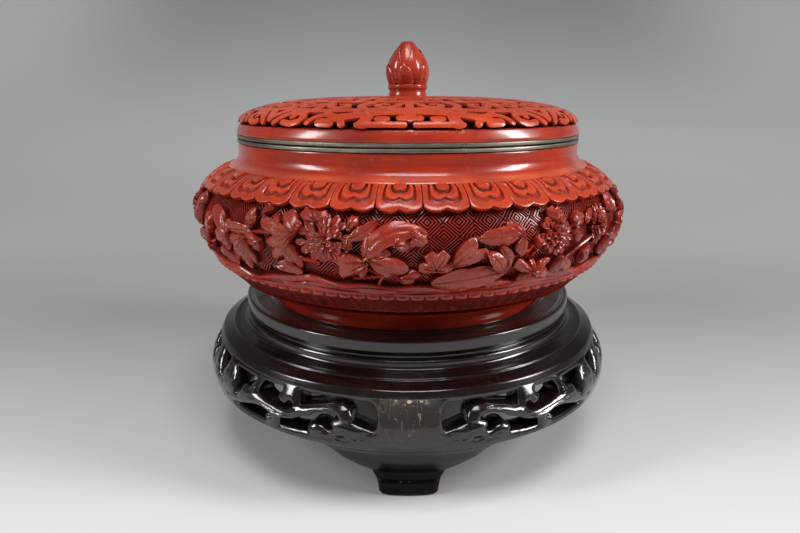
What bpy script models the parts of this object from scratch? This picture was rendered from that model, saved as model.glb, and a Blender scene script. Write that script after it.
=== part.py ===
"""Carved cinnabar lacquer lidded box on its carved hardwood stand.

Metres, +Z up. The origin is on the ground at the middle of the stand, and the front is -Y.
The stand has a round dished top, a pierced apron, a bottom rail and three cabriole legs. The box
is a squat hollow bowl with a collar of petals, a flowered belly and a border of lappets, a domed
hollow lid with cloud scrolls, two metal mouth rims and a lotus bud knob.
"""
import math

import bmesh
import bpy

MM = 0.001

# Stand, in millimetres
STAND_HEIGHT = 74.9
RING_WIDTH = 15.7
RING_FACE = 5.3
RING_BEVEL = 1.0
BEAD_WIDTH = 2.2
DISH_DEPTH = 1.0
GROOVE_DEPTH = 2.2
GROOVE_HEIGHT = 3.5
TORUS_HEIGHT = 5.4
TORUS_SWELL = 0.5
TORUS_CREST = 0.3
STEP_WIDTH = 7.8
SHOULDER_INSET = 8.6
SHOULDER_DROP = 5.5
SHOULDER_LIP = 1.8
SHOULDER_WALL = 9.0
STEP_WALL = 2.4
BOARD_THICKNESS = 14.0
RECESS_DEPTH = 2.5
APRON_BULGE = 6.1
APRON_HEIGHT = 21.3
APRON_WIDEST = 15.0
APRON_WALL = 7.0
APRON_MARGIN = 0.4
CARVING_SETBACK = 0.3
RAIL_HEIGHT = 2.6
LEG_COUNT = 3
LEG_STRIPS = 3
KNEE_HALF_WIDTH = 43.5
STAND_SEGMENTS = 36

# Leg below the panel: share of the leg's height, then inset from the apron's foot, thickness and half
# width as shares of the knee's half width
LEG_SECTIONS = ((1.04, 0.005, 0.161, 1.000), (0.88, 0.057, 0.172, 0.816), (0.7, 0.159, 0.195, 0.713),
                (0.52, 0.276, 0.230, 0.575), (0.37, 0.372, 0.276, 0.402), (0.225, 0.405, 0.299, 0.326),
                (0.195, 0.359, 0.345, 0.322), (0.045, 0.368, 0.345, 0.308), (0.0, 0.391, 0.310, 0.264))

# Leg's panel and the leaves beside it: share of the apron's height below the shoulder, then half width
# as a share of the knee's
LEG_LEAVES = ((0.023, 0.308), (0.5, 0.326), (0.62, 0.483))

# Bars of the pierced apron on half a sector: azimuth in degrees, then drop below the shoulder and width
# as shares of the apron's height
WAVE_SCROLL = ((15.4, 0.516, 0.122), (14.9, 0.357, 0.169), (18.6, 0.282, 0.169), (26.0, 0.432, 0.188),
               (31.5, 0.563, 0.178), (42.0, 0.563, 0.235), (51.5, 0.808, 0.263))
POST_SCROLL = ((30.0, -0.028, 0.498), (29.9, 0.169, 0.432), (28.8, 0.516, 0.169))
SPIKE = ((40.4, -0.028, 0.103), (43.6, 0.493, 0.329))
FOOT_SCROLL = ((37.6, 0.723, 0.113), (34.6, 0.676, 0.160), (34.2, 0.958, 0.310))
RAIL_LEAF = ((21.4, 0.667, 0.150), (21.2, 0.958, 0.451))
PALMETTE = ((54.6, -0.028, 0.329), (53.2, 0.563, 0.563), (54.4, 0.958, 0.751))
APRON_BARS = {"wave_scroll": WAVE_SCROLL, "post_scroll": POST_SCROLL, "spike": SPIKE,
              "foot_scroll": FOOT_SCROLL, "rail_leaf": RAIL_LEAF, "palmette": PALMETTE}

# Box body, in millimetres
FOOT_RADIUS = 72.5
FOOT_RING_WIDTH = 8.0
FOOT_RING_HEIGHT = 5.5
FOOT_RECESS = 3.0
FOOT_HEIGHT = 15.2
FOOT_COVE_BEND = (0.41, 0.23)
BORDER_LEDGE = 5.0
BORDER_HEIGHT = 11.5
BELLY_HEIGHT = 35.7
COLLAR_HEIGHT = 8.0
NECK_HEIGHT = 11.1
BELLY_RADIUS = 111.2
BELLY_WIDEST = 13.7
BORDER_RADIUS = 91.0
COLLAR_INSET = 5.3
COLLAR_THICKNESS = 1.9
COLLAR_UNDERCUT = 0.7
RELIEF_DEPTH = 4.6
BANK_HEIGHT = 6.0
BANK_SETBACK = 0.8
BANK_SWING = 0.9
LIP_WIDTH = 5.3
NECK_MARGIN = 0.4
NECK_COVE = 4.75
NECK_COVE_BEND = (0.4, 0.45)
BODY_WALL = 6.0
FLOOR_THICKNESS = 7.0
BODY_SEGMENTS = 36
BOWL_SEGMENTS = 24
PETAL_COUNT = 36
PETAL_NOTCH = 1.8
PETAL_NOTCH_RISE = 0.8
PETAL_CURVE = 1.6
PETAL_GROOVE = 1.3
PETAL_GROOVE_SHARE = 0.55
LAPPET_COUNT = 108
LAPPET_RISE = 1.3

# Mouth rims and lid, in millimetres
RIM_HEIGHT = 1.7
RIM_MARGIN = 0.7
RIM_FLANGE = 4.2
RIM_FLANGE_WALL = 1.2
LID_BAND_HEIGHT = 4.4
LID_BAND_SWELL = 0.6
LID_RISE = 13.5
LID_WALL = 5.2
LID_RELIEF = 2.6
LID_RADIUS = 87.1
LID_GROUND_SHARES = (0.62, 0.85, 0.96)
LID_GROUND_INSET = 0.8
LID_SEAT_HEIGHT = 3.4
LID_HOLLOW_EASE = 9.0
LID_HOLLOW_FALL = 1.0
LID_SEGMENTS = 36
CROWN_POWER = 6.0
CROWN_EASE = 0.6

# Cloud scrolls on the lid, in millimetres
SCROLL_COUNT = 12
SCROLL_INSET = 19.1
SCROLL_RADIUS = 12.0
SCROLL_BAR = 6.4
SCROLL_SWEEP = 235.0
SCROLL_STEPS = 5
SCROLL_START = 60.0
SCROLL_CURL = 0.35
SCROLL_TAPER = 0.3
INNER_SCROLL_COUNT = 6
INNER_SCROLL_INSET = 32.0
INNER_SCROLL_RADIUS = 11.0
INNER_SCROLL_START = 120.0
BOSS_MARGIN = 4.0

# Knob, in millimetres
KNOB_COLLAR_HEIGHT = 5.1
KNOB_COLLAR_RADIUS = 10.3
KNOB_WAIST = 0.8
KNOB_COLLAR_EASE = 0.3
BUD_HEIGHT = 21.3
BUD_RADIUS = 11.0
BUD_PROFILE = ((0.0, 0.0), (0.3, 0.03), (0.62, 0.2), (0.86, 0.42), (1.0, 0.66), (0.82, 1.0))
BUD_PETALS = 6
BUD_PETAL_RISE = 0.66
KNOB_SEGMENTS = 24

# Gaps between pieces that touch, in millimetres
SEAT_GAP = 0.3
RECESS_GAP = 1.2
FLANGE_GAP = 0.5

# Faces that meet at less than this angle, in degrees, are joined after a union
TIDY_ANGLE = 3.0

# Levels above the ground, in millimetres
BOX_BASE = STAND_HEIGHT - RECESS_DEPTH + SEAT_GAP
BORDER_LOW = BOX_BASE + FOOT_HEIGHT
BORDER_TOP = BORDER_LOW + BORDER_HEIGHT
COLLAR_LOW = BORDER_TOP + BELLY_HEIGHT
LIP_LEVEL = COLLAR_LOW + COLLAR_HEIGHT
NECK_TOP = LIP_LEVEL + NECK_HEIGHT
BODY_RIM_BASE = NECK_TOP + SEAT_GAP
BODY_RIM_TOP = BODY_RIM_BASE + RIM_HEIGHT
LID_RIM_BASE = BODY_RIM_TOP + SEAT_GAP
LID_BASE = LID_RIM_BASE + RIM_HEIGHT + SEAT_GAP
LID_EDGE = LID_BASE + LID_BAND_HEIGHT
LID_TOP = LID_EDGE + LID_RISE
KNOB_BASE = LID_TOP + SEAT_GAP
BELLY_LEVEL = COLLAR_LOW - BELLY_WIDEST
GROOVE_LOW = STAND_HEIGHT - RING_FACE - GROOVE_HEIGHT
TORUS_LOW = GROOVE_LOW - TORUS_HEIGHT
SHOULDER_LEVEL = TORUS_LOW - SHOULDER_DROP
APRON_LOW = SHOULDER_LEVEL - APRON_HEIGHT
APRON_LEVEL = SHOULDER_LEVEL - APRON_WIDEST

# Radii that follow from the others: the mouth is made to the lid, and the stand to the box that it carries
NECK_RADIUS = LID_RADIUS + NECK_MARGIN
LIP_RADIUS = NECK_RADIUS + LIP_WIDTH
RIM_RADIUS = LID_RADIUS + RIM_MARGIN
SCROLL_RING_RADIUS = LID_RADIUS - SCROLL_INSET
INNER_RING_RADIUS = SCROLL_RING_RADIUS - INNER_SCROLL_INSET
MOUTH_RADIUS = NECK_RADIUS - BODY_WALL
COLLAR_RADIUS = BELLY_RADIUS - COLLAR_INSET
RING_RADIUS = FOOT_RADIUS + RING_WIDTH
STEP_RADIUS = RING_RADIUS + STEP_WIDTH
CEILING_RADIUS = STEP_RADIUS - STEP_WALL
SHOULDER_RADIUS = BELLY_RADIUS - SHOULDER_INSET
APRON_RADIUS = SHOULDER_RADIUS + APRON_BULGE
LID_BORE = MOUTH_RADIUS + RIM_FLANGE_WALL + FLANGE_GAP

# Peony heads on half of the belly: azimuth, drop below the collar, radius. The other half repeats them.
FLOWERS = ((-46.0, 16.0, 9.5), (-19.5, 12.0, 9.5), (31.5, 12.5, 9.5), (50.5, 12.0, 8.5))
FLOWER_PETALS = 6

# Leaves on half of the belly: azimuth, drop below the collar, length, width, heading (0 is right, 90 up)
LEAVES = ((-80.0, 10.0, 17.0, 8.5, 170.0), (-72.0, 23.0, 17.0, 8.0, 100.0), (-62.0, 12.0, 15.0, 8.0, 250.0),
          (-33.0, 12.5, 15.0, 8.0, 225.0), (-27.5, 23.0, 12.0, 7.5, 245.0), (-8.5, 11.0, 15.0, 6.5, 80.0),
          (-5.0, 19.0, 12.0, 9.5, 120.0), (-13.0, 24.0, 13.0, 8.5, 215.0), (4.7, 18.0, 10.0, 9.0, 90.0),
          (10.0, 26.5, 23.0, 10.5, 5.0), (16.0, 12.5, 15.0, 8.0, 30.0), (25.5, 26.0, 15.0, 12.0, 245.0),
          (39.5, 23.5, 15.0, 9.0, 240.0), (62.0, 22.0, 16.0, 8.0, 290.0), (70.0, 9.0, 15.0, 7.5, 60.0))
LEAF_SHAPE = ((0.0, 0.0), (0.3, 0.5), (0.72, 0.4), (1.0, 0.0), (0.72, -0.4), (0.3, -0.5))
CARVED_EDGE = 1.3
CARVED_CROWN = 0.1
CARVED_ROOT = 1.6

LACQUER_RED = (0.42, 0.035, 0.018, 1.0)
METAL_GREY = (0.23, 0.19, 0.13, 1.0)
DARK_WOOD = (0.022, 0.010, 0.008, 1.0)


def clear_scene():
    """Take every object out of the scene."""
    for item in list(bpy.data.objects):
        bpy.data.objects.remove(item, do_unlink=True)


def new_group(name):
    group = bpy.data.collections.new(name)
    bpy.context.scene.collection.children.link(group)
    return group


def hide_group(group):
    for item in group.objects:
        item.hide_render = True
        item.display_type = "WIRE"


def finish(name, colour, roughness, metallic):
    """Principled material of one sub-part."""
    material = bpy.data.materials.new(name)
    material.use_nodes = True
    shader = material.node_tree.nodes["Principled BSDF"]
    shader.inputs["Base Color"].default_value = colour
    shader.inputs["Roughness"].default_value = roughness
    shader.inputs["Metallic"].default_value = metallic
    return material


def place(name, mesh, group):
    item = bpy.data.objects.new(name, mesh)
    group.objects.link(item)
    return item


def around(radius, azimuth, height):
    """Point in metres at an azimuth in radians, measured from the front towards the right."""
    return (radius * math.sin(azimuth) * MM, -radius * math.cos(azimuth) * MM, height * MM)


def turned(name, profile, segments, group, closed=False):
    """Profile of (radius, height) run down the outer side and turned about Z by a Screw modifier."""
    mesh = bpy.data.meshes.new(name)
    points = [(r * MM, 0.0, z * MM) for r, z in profile]
    edges = [(i, i + 1) for i in range(len(points) - 1)]
    if closed:
        edges.append((len(points) - 1, 0))
    mesh.from_pydata(points, edges, [])
    item = place(name, mesh, group)
    screw = item.modifiers.new("turn", "SCREW")
    screw.steps = segments
    screw.render_steps = segments
    screw.use_merge_vertices = True
    screw.merge_threshold = 0.00001
    return item


def applied(item):
    """Give an object the mesh that its modifiers make."""
    bpy.context.view_layer.update()
    graph = bpy.context.evaluated_depsgraph_get()
    mesh = bpy.data.meshes.new_from_object(item.evaluated_get(graph))
    item.modifiers.clear()
    item.data = mesh
    return item


def closed_shell(name, rings, group, peak=None):
    """Loft closed loops of points, cap the first, and cap the last or fan it to a peak."""
    mesh = bpy.data.meshes.new(name)
    shape = bmesh.new()
    loops = [[shape.verts.new(point) for point in ring] for ring in rings]
    count = len(loops[0])
    for low, high in zip(loops, loops[1:]):
        for i in range(count):
            j = (i + 1) % count
            shape.faces.new((low[i], low[j], high[j], high[i]))
    caps = [shape.faces.new(loops[0][::-1])]
    if peak is None:
        caps.append(shape.faces.new(loops[-1]))
    else:
        top = shape.verts.new(peak)
        for i in range(count):
            shape.faces.new((loops[-1][i], loops[-1][(i + 1) % count], top))
    bmesh.ops.triangulate(shape, faces=caps)
    bmesh.ops.recalc_face_normals(shape, faces=shape.faces)
    shape.to_mesh(mesh)
    shape.free()
    return place(name, mesh, group)


def zip_rings(shape, upper, lower):
    """Join two rings of vertices of unlike counts, both in order of azimuth, with a belt of triangles."""
    i, j = 0, 0
    while i < len(upper) or j < len(lower):
        upper_next = (i + 1) / len(upper)
        lower_next = (j + 1) / len(lower)
        if j >= len(lower) or (i < len(upper) and upper_next <= lower_next):
            shape.faces.new((upper[i % len(upper)], lower[j % len(lower)], upper[(i + 1) % len(upper)]))
            i += 1
        else:
            shape.faces.new((upper[i % len(upper)], lower[j % len(lower)], lower[(j + 1) % len(lower)]))
            j += 1


def lofted(name, levels, group):
    """Skin of rings, each (samples, function of the azimuth in turns); a ring of one sample is a pole."""
    mesh = bpy.data.meshes.new(name)
    shape = bmesh.new()
    rings = []
    for samples, point_at in levels:
        ring = []
        for k in range(samples):
            radius, height = point_at(k / samples)
            ring.append(shape.verts.new(around(radius, 2.0 * math.pi * k / samples, height)))
        rings.append(ring)
    for upper, lower in zip(rings, rings[1:]):
        if len(upper) == 1 or len(lower) == 1:
            hub, ring = (upper[0], lower) if len(upper) == 1 else (lower[0], upper)
            for k in range(len(ring)):
                shape.faces.new((hub, ring[k], ring[(k + 1) % len(ring)]))
        else:
            zip_rings(shape, upper, lower)
    bmesh.ops.recalc_face_normals(shape, faces=shape.faces)
    shape.to_mesh(mesh)
    shape.free()
    return place(name, mesh, group)


def plain(samples, radius, height):
    """Level of a lofted skin that is a plain circle."""
    return samples, lambda turn: (radius, height)


def unite(target, guides, name):
    """Boolean union of every object of a collection into the target."""
    join = target.modifiers.new(name, "BOOLEAN")
    join.operation = "UNION"
    join.solver = "EXACT"
    join.operand_type = "COLLECTION"
    join.collection = guides
    tidy = target.modifiers.new(name + " tidied", "DECIMATE")
    tidy.decimate_type = "DISSOLVE"
    tidy.angle_limit = math.radians(TIDY_ANGLE)


def belly_surface(height):
    """Radius and outward normal of the relief's top: a parabola above and one below the widest level."""
    if height > BELLY_LEVEL:
        reach, fall = COLLAR_LOW - BELLY_LEVEL, BELLY_RADIUS - COLLAR_RADIUS
    else:
        reach, fall = BORDER_LOW - BELLY_LEVEL, BELLY_RADIUS - BORDER_RADIUS
    share = (height - BELLY_LEVEL) / reach
    slope = -2.0 * fall * share / reach
    size = math.hypot(1.0, slope)
    return BELLY_RADIUS - fall * share * share, 1.0 / size, -slope / size


def sunk_belly(height, depth):
    """Radius and height of the point that lies at a depth under the relief's top."""
    radius, out, rise = belly_surface(height)
    return radius - depth * out, height - depth * rise


def on_belly(azimuth, drop, across, up, depth):
    """Point at an azimuth in degrees and a drop below the collar, moved on the belly, at a depth."""
    height = COLLAR_LOW - drop
    height += up * belly_surface(height)[1]
    radius, level = sunk_belly(height, depth)
    return around(radius, math.radians(azimuth) + across / belly_surface(height)[0], level)


def raised_on_belly(name, azimuth, drop, outline, group):
    """Relief with a closed outline of (across, up) points, a cut wall and a top crowned to its middle."""
    rings = [[on_belly(azimuth, drop, x, y, depth) for x, y in outline]
             for depth in (RELIEF_DEPTH + CARVED_ROOT, CARVED_EDGE)]
    return closed_shell(name, rings, group, peak=on_belly(azimuth, drop, 0.0, 0.0, CARVED_CROWN))


def leaf_outline(length, width, heading):
    """Leaf with a pointed tip, turned to its heading."""
    turn = math.radians(heading)
    points = []
    for along, side in LEAF_SHAPE:
        x, y = (along - 0.5) * length, side * width
        points.append((x * math.cos(turn) - y * math.sin(turn), x * math.sin(turn) + y * math.cos(turn)))
    return points


def flower_outline(radius):
    """Round flower head with a notch between two petals."""
    points = []
    for i in range(2 * FLOWER_PETALS):
        turn = math.pi * i / FLOWER_PETALS
        reach = radius * (1.0 if i % 2 else 0.8)
        points.append((reach * math.cos(turn), reach * math.sin(turn)))
    return points


def carve_belly(group):
    """Peonies and leaves all round, the second half a repeat of the first."""
    for half in range(2):
        turn = 180.0 * half
        for i, (azimuth, drop, radius) in enumerate(FLOWERS):
            raised_on_belly("flower_%d_%d" % (half, i), azimuth + turn, drop, flower_outline(radius), group)
        for i, (azimuth, drop, length, width, heading) in enumerate(LEAVES):
            outline = leaf_outline(length, width, heading)
            raised_on_belly("leaf_%d_%d" % (half, i), azimuth + turn, drop, outline, group)


def petal_notch(turn):
    """Depth of the scallop at an azimuth: deep between petals, half as deep between a petal's two lobes."""
    place_in_petal = (turn * PETAL_COUNT) % 1.0
    return PETAL_NOTCH * max(0.0, 1.0 - 4.0 * min(place_in_petal, 1.0 - place_in_petal),
                             0.5 - 2.0 * abs(place_in_petal - 0.5))


def collar_point(share, notch=0.0):
    """Radius and height of the collar's face, from the lip at 0 to the petals' edge at 1, less the notch."""
    radius = LIP_RADIUS + share * (COLLAR_RADIUS - LIP_RADIUS)
    return radius - notch, LIP_LEVEL - COLLAR_HEIGHT * share ** PETAL_CURVE + PETAL_NOTCH_RISE * notch


def collar_grooves(turn):
    """Face of the collar part of the way out: a groove between petals and a crest on each."""
    place_in_petal = (turn * PETAL_COUNT) % 1.0
    return collar_point(PETAL_GROOVE_SHARE, 0.0 if 0.25 < place_in_petal < 0.75 else PETAL_GROOVE)


def collar_edge(turn):
    """Scalloped edge of the collar's face."""
    return collar_point(1.0, petal_notch(turn))


def collar_underside(turn):
    """Edge of the collar's underside, below the petals' scalloped edge."""
    notch = petal_notch(turn)
    low = COLLAR_LOW - COLLAR_THICKNESS + PETAL_NOTCH_RISE * notch
    return COLLAR_RADIUS - COLLAR_UNDERCUT - notch, low


def lappet_level(height):
    """Level across the lappets: raised in the middle of each and sunk between two."""
    def point_at(turn):
        place_in_lappet = (turn * LAPPET_COUNT) % 1.0
        sunk = min(place_in_lappet, 1.0 - place_in_lappet) < 0.25
        return sunk_belly(height, LAPPET_RISE if sunk else 0.0)
    return LAPPET_COUNT * 2, point_at


def bank_level(turn):
    """Top edge of the ground bank along the foot of the belly: two rolling waves, one within the other."""
    wave = math.sin(2.0 * math.pi * 7.0 * turn) + 0.6 * math.sin(2.0 * math.pi * 11.0 * turn)
    return sunk_belly(BORDER_TOP + BANK_HEIGHT + BANK_SWING * wave, BANK_SETBACK)


def make_body(parts, guides):
    """Hollow bowl: one skin up the inside, over the mouth and down to the foot, and the relief on it."""
    n, bowl = BODY_SEGMENTS, BOWL_SEGMENTS
    floor_level = BOX_BASE + FOOT_RECESS + FLOOR_THICKNESS
    skin = RELIEF_DEPTH + BODY_WALL
    ground_top = sunk_belly(COLLAR_LOW - COLLAR_THICKNESS, RELIEF_DEPTH)
    ground_middle = sunk_belly(BELLY_LEVEL, RELIEF_DEPTH)
    neck_cove = (NECK_RADIUS + NECK_COVE_BEND[0] * (LIP_RADIUS - NECK_RADIUS),
                 LIP_LEVEL + NECK_COVE_BEND[1] * NECK_COVE)
    ledge = BORDER_RADIUS - BORDER_LEDGE
    foot_cove = (FOOT_RADIUS + FOOT_COVE_BEND[0] * (ledge - FOOT_RADIUS),
                 BORDER_LOW - FOOT_COVE_BEND[1] * FOOT_HEIGHT)
    ring_in = FOOT_RADIUS - FOOT_RING_WIDTH
    levels = [
        (1, lambda turn: (0.0, floor_level)),
        plain(bowl, FOOT_RADIUS - BODY_WALL, floor_level),
        plain(bowl, *sunk_belly(BORDER_TOP, skin)),
        plain(bowl, *sunk_belly(BELLY_LEVEL, skin)),
        plain(bowl, *sunk_belly(COLLAR_LOW, skin)),
        plain(n, MOUTH_RADIUS, LIP_LEVEL),
        plain(n, MOUTH_RADIUS, NECK_TOP),
        plain(n, NECK_RADIUS, NECK_TOP),
        plain(n, NECK_RADIUS, LIP_LEVEL + NECK_COVE),
        plain(n, *neck_cove),
        plain(n, *collar_point(0.0)),
        (2 * PETAL_COUNT, collar_grooves),
        (4 * PETAL_COUNT, collar_edge),
        (4 * PETAL_COUNT, collar_underside),
        plain(n, *ground_top),
        plain(n, *ground_middle),
        (n, bank_level),
        lappet_level(BORDER_TOP),
        lappet_level(BORDER_LOW),
        plain(n, ledge, BORDER_LOW),
        plain(n, *foot_cove),
        plain(n, FOOT_RADIUS, BOX_BASE + FOOT_RING_HEIGHT),
        plain(n, FOOT_RADIUS, BOX_BASE),
        plain(n, ring_in, BOX_BASE),
        plain(n, ring_in, BOX_BASE + FOOT_RECESS),
        (1, lambda turn: (0.0, BOX_BASE + FOOT_RECESS)),
    ]
    body = lofted("box_body", levels, parts)
    carve_belly(guides)
    unite(body, guides, "carving")
    return body


def make_body_rim(parts):
    """Metal rim of the bowl's mouth with an upstanding flange that centres the lid."""
    flange_out = MOUTH_RADIUS + RIM_FLANGE_WALL
    flange_top = BODY_RIM_TOP + RIM_FLANGE
    profile = [(flange_out, flange_top), (flange_out, BODY_RIM_TOP), (RIM_RADIUS, BODY_RIM_TOP),
               (RIM_RADIUS, BODY_RIM_BASE), (MOUTH_RADIUS, BODY_RIM_BASE), (MOUTH_RADIUS, flange_top)]
    return turned("body_rim", profile, BODY_SEGMENTS, parts, closed=True)


def make_lid_rim(parts):
    """Flat metal rim on the lid's edge."""
    profile = [(RIM_RADIUS, LID_RIM_BASE + RIM_HEIGHT), (RIM_RADIUS, LID_RIM_BASE), (LID_BORE, LID_RIM_BASE),
               (LID_BORE, LID_RIM_BASE + RIM_HEIGHT)]
    return turned("lid_rim", profile, LID_SEGMENTS, parts, closed=True)


def crown_height(radius):
    """Height of the lid's carved top: flat in the middle and falling steeply at the edge."""
    share = min(1.0, radius / LID_RADIUS)
    return LID_EDGE + LID_RISE * (1.0 - share ** CROWN_POWER) ** CROWN_EASE


def on_lid(x, y, depth):
    """Point of the lid's top at a place in plan, sunk by a depth."""
    return (x * MM, y * MM, (crown_height(math.hypot(x, y)) - depth) * MM)


def scroll_bar(name, ring_radius, azimuth, scroll_radius, start, sweep, group):
    """C-shaped flat-topped bar of a cloud scroll, narrower and tighter towards its curled end."""
    centre_x, centre_y = ring_radius * math.sin(azimuth), -ring_radius * math.cos(azimuth)
    rings = []
    for i in range(SCROLL_STEPS + 1):
        share = i / SCROLL_STEPS
        turn = azimuth + math.radians(start + sweep * share)
        reach = scroll_radius * (1.0 - SCROLL_CURL * share)
        half = 0.5 * SCROLL_BAR * (1.0 - SCROLL_TAPER * share)
        near = (centre_x + (reach - half) * math.sin(turn), centre_y - (reach - half) * math.cos(turn))
        far = (centre_x + (reach + half) * math.sin(turn), centre_y - (reach + half) * math.cos(turn))
        root = LID_RELIEF + CARVED_ROOT
        rings.append([on_lid(*near, root), on_lid(*near, 0.0), on_lid(*far, 0.0), on_lid(*far, root)])
    return closed_shell(name, rings, group)


def make_lid(parts, guides):
    """Hollow domed lid with a plain band, and cloud scrolls standing on its sunk top."""
    ceiling = LID_TOP - LID_RELIEF - LID_WALL
    ground = [((LID_RADIUS - LID_GROUND_INSET) * share, crown_height(LID_RADIUS * share) - LID_RELIEF)
              for share in LID_GROUND_SHARES]
    profile = [(0.0, LID_TOP - LID_RELIEF)] + ground
    profile += [(LID_RADIUS, LID_EDGE), (LID_RADIUS + LID_BAND_SWELL, LID_BASE + 0.3 * LID_BAND_HEIGHT),
                (LID_RADIUS + LID_BAND_SWELL, LID_BASE), (LID_BORE, LID_BASE), (LID_BORE, LID_BASE + LID_SEAT_HEIGHT),
                (LID_BORE - LID_HOLLOW_EASE, ceiling - LID_HOLLOW_FALL), (0.0, ceiling)]
    lid = turned("lid", profile, LID_SEGMENTS, parts)
    for i in range(SCROLL_COUNT):
        azimuth = 2.0 * math.pi * (i + 0.5) / SCROLL_COUNT
        side = 1.0 if i % 2 else -1.0
        scroll_bar("lid_scroll_%d" % i, SCROLL_RING_RADIUS, azimuth, SCROLL_RADIUS,
                   side * SCROLL_START, -side * SCROLL_SWEEP, guides)
    for i in range(INNER_SCROLL_COUNT):
        azimuth = 2.0 * math.pi * (i + 0.5) / INNER_SCROLL_COUNT
        side = 1.0 if i % 2 else -1.0
        scroll_bar("lid_inner_scroll_%d" % i, INNER_RING_RADIUS, azimuth, INNER_SCROLL_RADIUS,
                   side * INNER_SCROLL_START, side * SCROLL_SWEEP, guides)
    boss_radius = KNOB_COLLAR_RADIUS + BOSS_MARGIN
    boss_low = LID_TOP - LID_RELIEF - CARVED_ROOT
    turned("lid_boss", [(0.0, LID_TOP), (boss_radius, LID_TOP), (boss_radius, boss_low), (0.0, boss_low)],
           KNOB_SEGMENTS, guides)
    unite(lid, guides, "cloud scrolls")
    return lid


def make_knob(parts):
    """Lotus bud on a turned collar, with two tiers of petals that alternate round the bud."""
    bud_base = KNOB_BASE + KNOB_COLLAR_HEIGHT
    top = bud_base + BUD_HEIGHT
    bud = [(reach * BUD_RADIUS, top - fall * BUD_HEIGHT) for reach, fall in BUD_PROFILE]
    profile = bud + [(KNOB_COLLAR_RADIUS, bud_base - KNOB_COLLAR_EASE),
                     (KNOB_COLLAR_RADIUS - KNOB_WAIST, bud_base - 0.5 * KNOB_COLLAR_HEIGHT),
                     (KNOB_COLLAR_RADIUS - 0.4 * KNOB_WAIST, KNOB_BASE), (0.0, KNOB_BASE)]
    knob = applied(turned("knob", profile, KNOB_SEGMENTS, parts))
    for vertex in knob.data.vertices:
        height = vertex.co.z / MM - bud_base
        if height < 0.1 * BUD_HEIGHT:
            continue
        azimuth = math.atan2(vertex.co.x, -vertex.co.y)
        tier = 0.0 if height < 0.5 * BUD_HEIGHT else math.pi
        swell = 1.0 + BUD_PETAL_RISE / BUD_RADIUS * math.cos(BUD_PETALS * azimuth + tier)
        vertex.co.x *= swell
        vertex.co.y *= swell
    return knob


def apron_radius(height):
    """Outer radius of the apron, bulging to its widest level."""
    share = (height - APRON_LEVEL) / (SHOULDER_LEVEL - APRON_LEVEL)
    return APRON_RADIUS - (APRON_RADIUS - SHOULDER_RADIUS) * share ** 2


def apron_bar(name, path, side, turn, group):
    """Bar of the pierced apron along a path of (azimuth, drop, width), mirrored by side, turned to a leg."""
    points = [(math.radians(azimuth) * APRON_RADIUS, drop * APRON_HEIGHT, width * APRON_HEIGHT)
              for azimuth, drop, width in path]
    rings = []
    for i, (x, drop, width) in enumerate(points):
        before, after = points[max(0, i - 1)], points[min(len(points) - 1, i + 1)]
        run, fall = after[0] - before[0], after[1] - before[1]
        size = math.hypot(run, fall)
        ring = []
        for edge, sunk in ((-0.5, CARVING_SETBACK), (0.5, CARVING_SETBACK),
                           (0.5, APRON_WALL), (-0.5, APRON_WALL)):
            x_edge = x - edge * width * fall / size
            height = SHOULDER_LEVEL - (drop + edge * width * run / size)
            height = min(height, SHOULDER_LEVEL - APRON_MARGIN)
            height = max(height, APRON_LOW + APRON_MARGIN)
            ring.append(around(apron_radius(height) - sunk, turn + side * x_edge / APRON_RADIUS, height))
        rings.append(ring)
    return closed_shell(name, rings, group)


def make_leg(name, turn, group):
    """Leg with its panel: sections bent round the stand's axis, wide at the rail and narrow above the foot."""
    sections = []
    for share, half_share in LEG_LEAVES:
        height = SHOULDER_LEVEL - share * APRON_HEIGHT
        radius = apron_radius(height) - 0.5 * CARVING_SETBACK
        sections.append((height, radius, APRON_WALL, half_share * KNEE_HALF_WIDTH))
    low_radius = apron_radius(APRON_LOW)
    for share, *sizes in LEG_SECTIONS:
        inset, wall, half = [size * KNEE_HALF_WIDTH for size in sizes]
        sections.append((share * APRON_LOW, low_radius - inset, wall, half))
    rings = []
    for height, radius, thickness, half_width in sections:
        outer, inner = [], []
        for i in range(LEG_STRIPS + 1):
            azimuth = turn + (half_width / radius) * (2.0 * i / LEG_STRIPS - 1.0)
            outer.append(around(radius, azimuth, height))
            inner.append(around(radius - thickness, azimuth, height))
        rings.append(outer + inner[::-1])
    return closed_shell(name, rings, group)


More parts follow.
